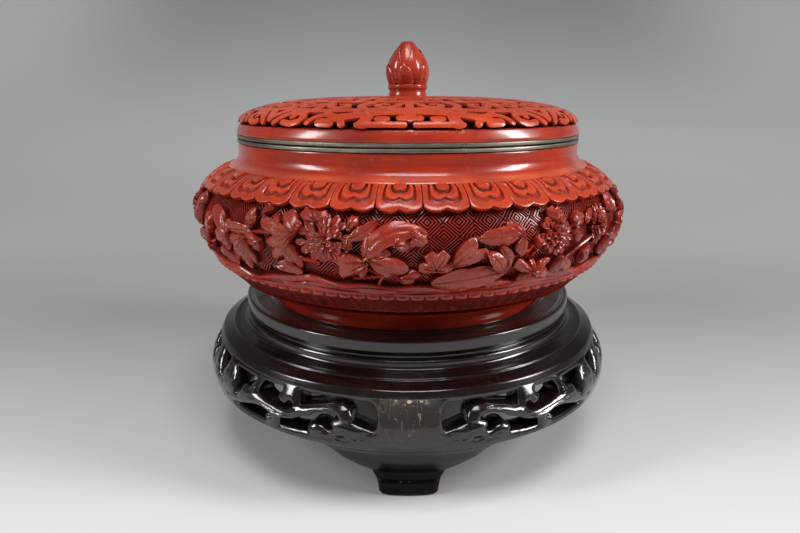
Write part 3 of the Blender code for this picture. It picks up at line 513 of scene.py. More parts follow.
# The bowl, turned in wood and coated in many layers of cinnabar lacquer: a plain neck and lip, a plain
# foot, black lacquer inside. The carved bands are cut into the lacquer between lip and foot.
def lacquer(name, base, shade, gloss, rub=0.0, sheer=(0.0, 0.62), painted_pit_shade=(0.062, 0.0048, 0.0046), chips=()):
    """Cinnabar lacquer of two reds, mottled and streaked round the turning. Plain, it has a painted highlight
    that lightens the lip to orange. Carved, by the mesh's depth: a dark pit colour without gloss at the
    ground and up the sheer range, painted shade of the recesses and walls; red above, a dusty pinkish brown
    on the rubbed tops, and a painted highlight of bright red on cut edges. Chips are small places where pale
    primer shows."""
    material, tree, shader = new_material(name, Specular_IOR_Level=0.38, Coat_Weight=0.45,
                                          Coat_Roughness=0.12)
    place, _, _, level = object_place(tree)
    cloud, streak, scratch = worn(tree, place)
    colour = blend(tree, in_range(tree, cloud, 0.0, 1.0, 0.0, 0.8), base, shade)
    colour = blend(tree, in_range(tree, streak, 0.3, 1.0, 0.0, 0.35), colour, shade)
    if rub:
        depth, painted_edge_highlight = [add_node(tree, "ShaderNodeAttribute", attribute_name=title).outputs["Fac"]
                        for title in ("depth", "painted_edge_highlight")]
        fine = cloudy(tree, stretched(tree, place, (0.5, 0.2, 0.9), (1.0, 0.16, 1.0)), 1100.0, 3.0, 0.6)
        dusty = blend(tree, in_range(tree, fine, 0.35, 0.65), (0.205, 0.027, 0.014), (0.300, 0.046, 0.026))
        rubbed = in_range(tree, cloudy(tree, place, 75.0, 3.0), 0.36, 0.62, 0.25, rub)
        # Painted shade: the pit colour darkens the ground and the walls as if they lay in shadow. Painted
        # highlight: cut edges are lit bright red by the edge highlight attribute.
        ground = in_range(tree, depth, *sheer, 1.0, 0.0)
        for share, tint in ((calc(tree, "MULTIPLY", in_range(tree, depth, 0.72, 0.95), rubbed), dusty),
                            (ground, painted_pit_shade), (in_range(tree, painted_edge_highlight, 0.35, 0.95), (0.58, 0.058, 0.016))):
            colour = blend(tree, share, colour, tint)
        for title, most in (("Specular IOR Level", 0.38), ("Coat Weight", 0.2)):
            tree.links.new(in_range(tree, depth, *sheer, 0.2 * most, most), shader.inputs[title])
        rough = calc(tree, "ADD", calc(tree, "MULTIPLY", ground, 0.3),
                     in_range(tree, fine, 0.3, 0.7, gloss, gloss + 0.1))
        bumped(tree, shader, fine, 0.16, 0.00025)
    else:
        # Painted highlight: a band at the lip's level is lightened to orange, where the front light catches
        # it.
        lip = calc(tree, "MULTIPLY", in_range(tree, level, 0.1424, 0.1436, 0.0, 0.4),
                   in_range(tree, level, 0.1444, 0.1462, 1.0, 0.0),
                   in_range(tree, cloud, 0.0, 1.0, 1.0, 0.4))
        colour = blend(tree, lip, colour, (0.72, 0.14, 0.05))
        rough = in_range(tree, cloud, 0.0, 1.0, gloss, gloss + 0.1)
        bumped(tree, shader, streak, 0.05, 0.0003)
    colour = blend(tree, in_range(tree, scratch, 0.0, 1.0, 0.0, 0.22), colour, (0.50, 0.16, 0.12))
    for spot in chips:
        away = add_node(tree, "ShaderNodeVectorMath", {0: place, 1: spot}, operation="DISTANCE")
        broken = calc(tree, "MULTIPLY", in_range(tree, away.outputs["Value"], 0.0010, 0.0036, 1.0, 0.0),
                      in_range(tree, cloudy(tree, place, 700.0), 0.46, 0.54))
        colour = blend(tree, broken, colour, (0.60, 0.36, 0.22))
    tree.links.new(colour, shader.inputs["Base Color"])
    tree.links.new(rough, shader.inputs["Roughness"])
    return material


PLAIN_REDS = ((0.39, 0.027, 0.007), (0.23, 0.013, 0.006))
plain_lacquer = lacquer("turned cinnabar lacquer", *PLAIN_REDS, 0.2)
black_lacquer, tree, shader = new_material("black inside lacquer", Coat_Weight=0.4)
cloud, streak, _ = worn(tree, object_place(tree)[0])
colour = blend(tree, cloud, (0.006, 0.005, 0.005), (0.013, 0.009, 0.008))
tree.links.new(colour, shader.inputs["Base Color"])
tree.links.new(in_range(tree, streak, 0.0, 1.0, 0.2, 0.3), shader.inputs["Roughness"])

LIP_REACH, LIP_LEVEL = 92.8, 143.1
BOWL_INSIDE = eased([
    (0.0, 82.8, 0), (60.0, 82.6, 8.0), (80.0, 92.0, 8.0), (98.0, 108.0, 9.0), (101.0, 121.4, 8.0),
    (93.0, 133.0, 8.0), (81.5, 141.5, 4.0), (81.5, 154.2, 0)], 8)
NECK = eased([
    (81.5, 154.2, 0), (87.3, 154.2, 0.3), (87.5, 153.6, 0.4), (87.5, 147.9, 2.2), (89.6, 145.3, 1.6),
    (92.4, 143.7, 0.7), (LIP_REACH, LIP_LEVEL, 0)], 6)
FOOT = eased([
    (90.9, 88.0, 0), (86.2, 87.9, 0.6), (78.0, 84.4, 4.0), (74.0, 80.4, 3.0), (72.5, 77.4, 1.5),
    (72.5, 72.7, 0.4), (64.5, 72.7, 0.4), (64.5, 75.7, 0.5), (0.0, 75.7, 0)], 6)
skin("bowl_inside", [(turned(BOWL_INSIDE, 160), 1.0, 0.0)], black_lacquer, 40.0, "body_lacquer", "box_body")
skin("bowl_neck_and_foot", [(turned(NECK), 1.0, 0.0), (turned(FOOT), 1.0, 0.0)], plain_lacquer, 40.0,
     "body_lacquer", "box_body")


# The collar under the lip: 36 overlapping petals with scalloped edges, cut about two millimetres thick
# and standing off the belly. Each has a raised tongue, a ring with two lobes and a flat outer band.
PETALS, PETAL_LENGTH = 36, 1.82
COLLAR_REACH, COLLAR_FALL, COLLAR_BEND = 13.1, 8.0, 1.6


def collar_face(share, height):
    """Radius and level of the collar's face from the lip, 0, to the edge, 1, raised by a height: its level
    falls by a power of the share."""
    slope = COLLAR_BEND * COLLAR_FALL * np.clip(share, 0.0, 1.1) ** (COLLAR_BEND - 1.0)
    size = np.hypot(COLLAR_REACH, slope)
    return (LIP_REACH + COLLAR_REACH * share + height * slope / size,
            LIP_LEVEL - COLLAR_FALL * np.abs(share) ** COLLAR_BEND + height * COLLAR_REACH / size)


def petal_patch():
    """One petal as a polar grid about the middle of its top edge: half-turn columns, rows out from the
    centre over the tongue, groove, ring, recess and band to the scalloped edge, then down its cut wall. The
    inner rows are ovals of power 2.8. The edge falls short by scallops across, found in six rounds."""
    share, height, painted_edge_highlight, depth = [np.array(row)[:, None] for row in (
        (0.0, 0.2, 0.3, 0.36, 0.39, 0.44, 0.48, 0.56, 0.66, 0.7, 0.73, 0.79, 0.83, 0.9, 0.97, 1.0, 1.0, 0.985,
         0.93),
        (0.55, 0.5, 0.35, 0.1, -0.9, -1.05, -0.75, -0.05, 0.1, 0.02, -1.0, -1.15, -0.1, 0.0, 0.05, -0.1, -1.3,
         -2.1, -2.9),
        (0, 0, 0.2, 0.6, 0, 0, 0, 0.3, 0.7, 0.5, 0, 0, 0.6, 0.1, 0.6, 0.5, 0, 0, 0),
        (0.8, 0.8, 0.8, 0.7, 0.2, 0.1, 0.3, 0.8, 0.85, 0.8, 0.3, 0.3, 0.8, 0.85, 0.85, 0.8, 0.5, 0.3, 0.1))]
    turn = np.radians(np.linspace(90.0, -90.0, 37))[None, :]
    side, down = -np.sin(turn), np.cos(turn)
    lean = np.abs(side)
    plain = ((lean * 1.06) ** 2.8 + (np.abs(down) / 1.74) ** 2.8) ** (-1.0 / 2.8)
    edge = 1.0 / np.maximum(np.maximum(lean * 1.02, down * 0.56), 1e-6)
    for _ in range(6):
        u = np.clip(edge * side, -1.0, 1.0)
        scallop = 1.0 - 0.115 * np.maximum(np.clip(1.0 - 2.6 * (1.0 - np.abs(u)), 0, 1) ** 1.2,
                                           0.6 * np.clip(1.0 - 3.2 * np.abs(u), 0, 1) ** 1.2)
        edge = np.minimum(1.0 / np.maximum(lean * 1.02, 1e-6),
                          PETAL_LENGTH * scallop / np.maximum(down, 1e-6))
    squeeze = 1.0 - 0.13 * lean ** 2 * np.clip((share - 0.02) / 0.3, 0, 1) * (share < 0.9)
    out = (plain + (edge - plain) * np.clip((share - 0.5) / 0.35, 0, 1)) * share * squeeze
    u = out * side
    notch = 0.06 * np.exp(-(u / 0.16) ** 2) * ((share > 0.5) & (share < 0.8))
    return u, out * down / PETAL_LENGTH - notch, height, depth, painted_edge_highlight


def collar_patches():
    """The petal set round the lip. A petal's height varies a little, and the front one has lost a chip."""
    u, v, height, depth, painted_edge_highlight = petal_patch()
    patches = []
    for petal in range(PETALS):
        azimuth = np.radians(7.6 + 360.0 / PETALS * (petal + 0.5 * u))
        lift = height + 0.12 * math.sin(2.4 * petal)
        if petal == PETALS - 1:
            lift = lift - 1.6 * np.exp(-(((u + 0.1) / 0.45) ** 2 + ((v - 1.02) / 0.09) ** 2))
        radius, level = collar_face(v, lift)
        patches.append((around(radius, azimuth, level), depth, painted_edge_highlight))
    return patches


collar_lacquer = lacquer("collar cinnabar lacquer", (0.50, 0.044, 0.010), (0.31, 0.024, 0.008), 0.2, 0.5)
# The belly under the petals gets depth 0: the lacquer paints it in its dark pit colour, painted shade under
# the collar.
under_collar = turned([(LIP_REACH, LIP_LEVEL), (94.0, 139.0), (99.0, 135.6)])
skin("petal_collar", [(under_collar, 0.0, 0.0)] + collar_patches(), collar_lacquer, 35.0, "body_lacquer",
     "box_body")


# The belly's ground: cut down nearly five millimetres and worked all over in a diaper of nested lozenges,
# with a wavy bank of earth along its foot and a border of small lappets below.
BELLY_REACH, BELLY_WIDE, COLLAR_LEVEL, BORDER_LEVEL = 111.2, 121.4, 135.1, 87.9
COLLAR_INSET, BORDER_INSET = 5.3, 20.2
GROUND_DEPTH, DIAPER_CELLS, DIAPER_RISE, LAPPETS = 4.85, 54, 6.3, 108


def belly_face(level):
    """Radius of the belly's relief top at a level, and its outward normal: parabolas above and below."""
    above = level > BELLY_WIDE
    reach = np.where(above, COLLAR_LEVEL - BELLY_WIDE, BORDER_LEVEL - BELLY_WIDE)
    fall = np.where(above, COLLAR_INSET, BORDER_INSET)
    share = (level - BELLY_WIDE) / reach
    slope = -2.0 * fall * share / reach
    size = np.hypot(1.0, slope)
    return BELLY_REACH - fall * share ** 2, 1.0 / size, -slope / size


def on_belly(azimuth, drop, across, up, height):
    """Points of the belly about a spot: moved across and up along its face, and off it by a height."""
    level = SEAM - drop + up * belly_face(SEAM - drop)[1]
    radius, out, rise = belly_face(level)
    return around(radius + height * out, np.radians(azimuth) + across / radius, level + height * rise)


def diaper_patches():
    """Lozenge cells in staggered rows that meet at their corners: each is four ridges, square in section,
    nested about its middle and carried round its four corners."""
    middle = (np.arange(4) / 4.0 + 0.125)[:, None]
    reach = (middle + np.array([-0.072, -0.052, 0.052, 0.072])).ravel()
    reach = np.concatenate([[0.0], reach, [1.0]])[:, None]
    ridge = np.concatenate([[0.0], np.tile([0.0, 1.0, 1.0, 0.0], 4), [0.0]])[:, None]
    corner = np.radians(np.arange(5) * 90.0)[None, :]
    turn, up = reach * np.cos(corner) * 180.0 / DIAPER_CELLS, reach * np.sin(corner) * DIAPER_RISE
    patches = []
    for row, drop in enumerate(np.arange(17.8, 51.0, DIAPER_RISE)):
        for cell in range(DIAPER_CELLS):
            azimuth = 0.1 + (cell + 0.5 * (row % 2)) * 360.0 / DIAPER_CELLS + turn
            points = on_belly(azimuth, drop - up, 0.0, 0.0, 0.1 - GROUND_DEPTH + 1.1 * ridge)
            # Ridge tops get a depth of 0.5, so the lacquer paints them part way to its dark pit colour:
            # painted shade on the lattice.
            patches.append((points, 0.5 * ridge, 0.44 * ridge))
    return patches


def bank_patch():
    """Earth bank: from a wavy top edge, three sines of the azimuth, down over three terraces that swell
    and narrow against one another to the lappet border."""
    azimuth = np.linspace(0.0, 360.0, 901)[None, :]
    turn = np.radians(azimuth)
    wave = np.sin(7.0 * turn + 3.75) + 0.7 * np.sin(13.0 * turn + 1.05) + 0.4 * np.sin(29.0 * turn)
    top = 52.2 - 1.7 * wave
    first = 0.30 + 0.10 * np.sin(11.0 * turn + 0.6) + 0.05 * np.sin(23.0 * turn)
    second = 0.64 + 0.09 * np.sin(9.0 * turn + 2.1) + 0.05 * np.sin(31.0 * turn)
    share = np.concatenate([a * first + b * second + c for a, b, c in (
        (0, 0, 0), (0, 0, 0), (0, 0, 0), (0.12, 0, 0), (0.5, 0, 0), (0.9, 0, 0), (1, 0, 0), (1, 0, 0.01),
        (0.8, 0.2, 0), (0.4, 0.6, 0), (0.05, 0.95, 0), (0, 1, 0), (0, 1, 0.01), (0, 0.8, 0.2), (0, 0.4, 0.6),
        (0, 0, 1))])
    level, painted_edge_highlight, depth, swing = [np.array(row)[:, None] for row in (
        (-4.9, -2.4, -1.5, -0.9, -0.5, -0.7, -1.1, -2.2, -1.3, -0.7, -0.8, -1.2, -2.0, -1.0, -0.5, -0.9),
        (0, 0, 0.6, 0.45, 0, 0, 0.55, 0, 0.45, 0, 0, 0.55, 0, 0.45, 0, 0),
        (0, 0.1, 0.6, 0.7, 0.76, 0.72, 0.6, 0.05, 0.5, 0.72, 0.74, 0.6, 0.05, 0.5, 0.72, 0.4),
        (0, 0, 1, 1, 1, 1, 1, 0, -1, -1, -1, -1, 0, 1, 1, 0))]
    height = level + 0.3 * np.sin(19.0 * turn + 0.7) * swing
    points = on_belly(azimuth, top + (57.2 - top) * share, 0.0, 0.0, height)
    return points, depth, painted_edge_highlight


def lappet_patch():
    """Border of lappets: each a hollow between narrow ribs under an arched, standing lip."""
    azimuth = np.linspace(0.0, 360.0, LAPPETS * 8 + 1)[None, :]
    place = np.abs((azimuth / 360.0 * LAPPETS) % 1.0 - 0.5) * 2.0
    arch = 1.0 - place ** 2
    share = np.array([0.0, 0.03, 0.06, 0.12, 0.18, 0.24, 0.34, 0.55, 0.8, 0.92, 1.0])[:, None]
    lip = np.exp(-((share - 0.12) / 0.1) ** 2)
    hollow = np.clip((share - 0.14) / 0.1, 0.0, 1.0) * np.clip((1.02 - share) / 0.1, 0.0, 1.0)
    rib = np.clip((place - 0.7) / 0.25, 0.0, 1.0)
    height = -1.2 + 1.6 * lip * arch ** 0.5 - 0.9 * hollow * (1.0 - rib) + 0.55 * hollow * rib
    points = on_belly(azimuth, 57.0 + 11.5 * share - 0.7 * lip * arch, 0.0, 0.0, height)
    depth = 0.36 + 0.55 * lip * arch - 0.1 * hollow * (1.0 - rib)
    return points, depth, 0.58 * lip * arch + 0.3 * hollow * rib


carved_lacquer = lacquer("carved cinnabar lacquer", (0.34, 0.019, 0.008), (0.20, 0.010, 0.006), 0.2, 0.9,
                         (0.05, 0.7))
# The ground gets depth 0, so the lacquer paints it in its dark pit colour: painted shade of the cut-away
# ground.
ground = on_belly(np.linspace(0.0, 360.0, 145)[None, :], np.linspace(17.0, 60.0, 24)[:, None], 0.0, 0.0,
                  -GROUND_DEPTH)
skin("belly_ground", [(ground, 0.0, 0.0), bank_patch(), lappet_patch()], carved_lacquer, 35.0, "body_lacquer",
     "box_body")
skin("belly_diaper", diaper_patches(), carved_lacquer, 20.0, "body_lacquer", "box_body")


# The belly's carving: peony heads among leaves, branches and rocks, left standing when the ground was
# cut away, with tooled tops, sheer sides painted dark as shade and a painted highlight on the cut edges.
# The back repeats the front.
WALL_FOOT, WALL_STEP, PIT_FLOOR, RELIEF_TOP = -4.95, 0.7, -4.0, 0.75


def top_depth(height):
    """Depth attribute of a carved top: 1 from half a millimetre under the relief's face upwards."""
    return np.clip((height + 4.9) / 4.4, 0.0, 1.0)


def leaf(heading, lobes, lift=-0.5, tilt=(0.0, 0.0), arch=0.9, curled=0.0, fine=True):
    """Lobed leaf or petal about its stalk. The reach in a direction is the longest of its lobes', each a
    power of a cosine across the lobe: (angle, length, half width in degrees, power). The face bows up
    along each lobe, falls or curls up to the lobe's sides, tilts as a plane, and is grooved at the midribs
    and side veins; the edge drops in a sheer wall."""
    columns = 61 if fine else 17
    middle = 0.5 * (min(lobe[0] for lobe in lobes) + max(lobe[0] for lobe in lobes))
    turn = np.linspace(-180.0, 180.0, columns)
    if not fine:
        turn[1:-1] = np.linspace(-1.05, 1.05, columns - 2) * lobes[0][2]
    turn = turn + middle
    offset = np.array([(turn - angle) / wide for angle, _, wide, _ in lobes])
    reaches = np.array([long * np.cos(0.5 * np.pi * np.clip(part, -1.0, 1.0)) ** power
                        for (_, long, _, power), part in zip(lobes, offset)])
    reaches = np.maximum(reaches, 0.0)
    lobe = reaches.argmax(0)
    reach = np.maximum(reaches.max(0), 0.9)[None, :]
    if fine:
        reach = reach * (1.0 - 0.1 * np.abs(np.sin(np.radians(turn * 6.5 + heading)))[None, :])
    within = np.clip(np.abs(offset[lobe, np.arange(columns)]), 0.0, 1.0)[None, :]
    share = np.array([0.0, 0.22, 0.45, 0.65, 0.8, 0.9, 0.97, 1.0, 1.0, 1.0])[:, None]
    angle = np.radians(heading + turn)[None, :]
    x, y = share * reach * np.cos(angle), share * reach * np.sin(angle)
    strong = np.clip(reach / reach.max() * 1.3, 0.0, 1.0)
    height = (lift + tilt[0] * x + tilt[1] * y
              + 1.3 * arch * (np.sin(np.pi * share ** 0.8) - 0.6 * share ** 3)
              - (1.25 - curled) * within ** 1.8 * share * strong + 0.9 * curled * share ** 4
              - 0.6 * np.exp(-(within / 0.15) ** 2) * np.sin(np.pi * np.clip(share * 1.02, 0, 1)) ** 0.5)
    if fine:
        veins = np.sin(2.0 * np.pi * (share * 3.6 - within)) * (within > 0.15) * (share > 0.1)
        height = height + 0.3 * arch * np.sin(3.0 * angle + 5.0 * share + heading) * share + 0.26 * veins
    else:
        height = height + 0.16 * np.cos(3.0 * np.pi * within) * share
    height = np.clip(height - 0.12 * (share > 0.99), PIT_FLOOR, RELIEF_TOP)
    depth = top_depth(height)
    # A painted highlight runs along the cut edge; the wall's low depths paint it in shade.
    painted_edge_highlight = np.where(share > 0.96, 0.35 + 0.35 * np.sin(2.0 * angle + heading) ** 2, 0.0)
    height[-2] -= WALL_STEP
    height[-1] = WALL_FOOT
    depth[-2], depth[-1], painted_edge_highlight[-2:] = 0.25, 0.0, 0.0
    return [value[:, ::-1] for value in (x, y, height, depth, painted_edge_highlight)]


def wall_ends(count):
    """Which points across a section are the foot and which the step of the walls at its two ends."""
    number = np.abs(np.arange(count) - count // 2)[None, :]
    return number == count // 2, number == count // 2 - 1


def blade(length, width, heading, bend=0.0, lift=-0.4, tilt=0.0, fold=0.6, droop=0.7, twist=0.0):
    """Long leaf along a spine that turns evenly by its bend. Its half width is a power of a sine of the way
    along. The face arches down to its edges, tilts across by an amount that twists along it, droops to its
    tip, and has a midrib groove and side veins; its edge drops in a sheer wall."""
    along = np.linspace(0.0, 1.0, 22)[:, None]
    side = np.array([-1, -1, -1, -0.9, -0.62, -0.3, -0.1, 0, 0.1, 0.3, 0.62, 0.9, 1, 1, 1], float)[None, :]
    foot, step = wall_ends(side.size)
    half = 0.5 * width * np.sin(np.pi * along ** 0.82) ** 0.75 + 0.12
    half = half * (1.0 + 0.07 * np.sin(5.0 * np.pi * along + heading))
    turn = np.radians(heading + bend * (along - 0.5))
    stride = length / (len(along) - 1)
    x = (np.cumsum(np.cos(turn)) * stride - stride)[:, None] - side * half * np.sin(turn)
    y = (np.cumsum(np.sin(turn)) * stride - stride)[:, None] + side * half * np.cos(turn)
    veins = 0.2 * np.sin(2.0 * np.pi * (along * 4.0 - np.abs(side) * 0.9))
    veins = veins * (np.abs(side) > 0.15) * (np.abs(side) < 0.95)
    height = (lift - 1.3 * fold * np.abs(side) ** 1.6 + 1.3 * (tilt + twist * (along - 0.5)) * side
              - droop * along ** 2 - 0.5 * np.exp(-(side / 0.1) ** 2) + veins)
    height = np.clip(height, PIT_FLOOR, RELIEF_TOP)
    depth = np.where(foot, 0.0, np.where(step, 0.32, top_depth(height)))
    painted_edge_highlight = (0.35 + 0.35 * np.sin(5.0 * along + side) ** 2) * (np.abs(side) > 0.85) * ~(foot | step)
    return x, y, np.where(foot, WALL_FOOT, height - WALL_STEP * step), depth, painted_edge_highlight


def rock(width, tall, heading, lift=0.0):
    """Terraced scholar's rock: nested rounded ovals, each set in and a step higher than the last."""
    turn = np.radians(np.linspace(180.0, -180.0, 49))[None, :]
    ring, height, depth, painted_edge_highlight = [np.array(row)[:, None] for row in (
        (1.0, 1.0, 1.0, 0.93, 0.86, 0.84, 0.76, 0.62, 0.6, 0.52, 0.36, 0.34, 0.2, 0.0),
        (-4.9, -3.3, -2.5, -2.1, -2.2, -1.5, -1.2, -1.35, -0.7, -0.45, -0.6, -0.15, 0.0, 0.05),
        (0, 0.3, 0.8, 0.85, 0.45, 0.8, 0.85, 0.45, 0.85, 0.9, 0.5, 0.95, 1.0, 1.0),
        (0, 0, 0.7, 0.3, 0, 0.6, 0.2, 0, 0.6, 0.2, 0, 0.6, 0.1, 0))]
    wobble = 1.0 + 0.1 * np.sin(3.0 * turn + heading) + 0.08 * np.sin(7.0 * turn + 2.0 * ring + heading)
    reach = ring * wobble * (np.abs(np.cos(turn)) ** 3 + np.abs(np.sin(turn)) ** 3) ** (-1.0 / 3.0)
    x, y = -0.5 * width * reach * np.cos(turn), 0.5 * tall * reach * np.sin(turn)
    angle = math.radians(heading)
    x, y = x * math.cos(angle) - y * math.sin(angle), x * math.sin(angle) + y * math.cos(angle)
    return x, y, height + lift + 0 * turn, depth, painted_edge_highlight


def stem(points, width, lift=-1.2):
    """Branch along (across, up) points: rounded on top, swelling a little at its middle, sides sheer."""
    points = np.array(points, float)
    count = 6 * (len(points) - 1) + 1
    share = np.linspace(0, len(points) - 1, count)
    path = np.stack([np.interp(share, np.arange(len(points)), points[:, k]) for k in (0, 1)], axis=-1)
    path[1:-1] = (path[:-2] + 2 * path[1:-1] + path[2:]) / 4
    run = np.gradient(path, axis=0)
    run = run / np.hypot(run[:, :1], run[:, 1:])
    side = np.array([-1, -1, -1, -0.7, 0, 0.7, 1, 1, 1])[None, :]
    foot, step = wall_ends(side.size)
    half = 0.5 * width * (0.75 + 0.25 * np.sin(np.linspace(0, np.pi, count)))[:, None]
    height = np.where(foot, WALL_FOOT, lift - 0.6 * np.abs(side) ** 2 - WALL_STEP * step) + 0 * half
    painted_edge_highlight = np.where(np.abs(side) > 0.9, 0.5, 0.0) * ~(foot | step)
    return (path[:, :1] - side * half * run[:, 1:], path[:, 1:] + side * half * run[:, :1], height,
            np.where(foot, 0.0, np.where(step, 0.3, 0.75)), painted_edge_highlight)


PEONY_TIERS = (
    (14, 1.03, -1.7, 0.46, 37, 0.42), (12, 0.80, -1.1, 0.42, 38, 0.42), (9, 0.58, -0.5, 0.36, 42, 0.45),
    (6, 0.38, 0.0, 0.30, 46, 0.5), (4, 0.22, 0.2, 0.24, 40, 0.8))


def peony(radius, squash=1.0, spin=0.0, low=0.0):
    """Flower head: rings of broad cupped petals, each ring set in, higher and staggered, round a small
    heart of narrow ones. A petal is a leaf of one round lobe, its face rising to its rim."""
    petals = []
    for tier, (count, share, lift, size, wide, power) in enumerate(PEONY_TIERS):
        for k in range(count):
            heading = spin + 360.0 * (k + 0.5 * (tier % 2)) / count + 8.0 * math.sin(3.1 * k + tier)
            long = radius * size * 1.1 * (1.0 + 0.12 * math.sin(4.7 * k + 1.3 * tier))
            reach = radius * share * (1.0 + 0.08 * math.sin(5.3 * k + 2.0 * tier)) - long
            lean = 0.22 / long * math.sin(2.3 * k + tier)
            lift_here = lift + low + 0.15 * math.sin(7.0 * k)
            x, y, height, depth, painted_edge_highlight = leaf(heading, ((0.0, long, wide, power),), lift_here, (lean, -lean),
                                              0.1, 0.75, False)
            x = x + reach * math.cos(math.radians(heading))
            y = y + reach * math.sin(math.radians(heading))
            depth = np.where(depth > 0.3, np.clip(depth + 0.2, 0.0, 1.0), depth)
            petals.append((x * squash, y, height, depth, 0.55 * painted_edge_highlight))
    return petals


def laid(azimuth, drop, shapes):
    """Carved shapes set on the belly at a spot, at the front and again at the back."""
    return [(on_belly(azimuth + turn, drop, x, y, height), depth, painted_edge_highlight)
            for x, y, height, depth, painted_edge_highlight in shapes for turn in (0.0, 180.0)]


OVAL, TRIDENT = ((0, 8, 51, 0.59),), ((-58, 7, 49, 0.51), (0, 10, 49, 0.55), (58, 7, 49, 0.51))
MAPLE = ((-150, 7, 41, 0.59), (-85, 6, 37, 0.59), (-40, 11, 32, 0.59), (12, 9, 32, 0.59), (65, 6, 39, 0.59),
         (110, 10, 37, 0.59))


def grown(lobes, size):
    """Lobes of another size."""
    return tuple((angle, long * size, wide, power) for angle, long, wide, power in lobes)


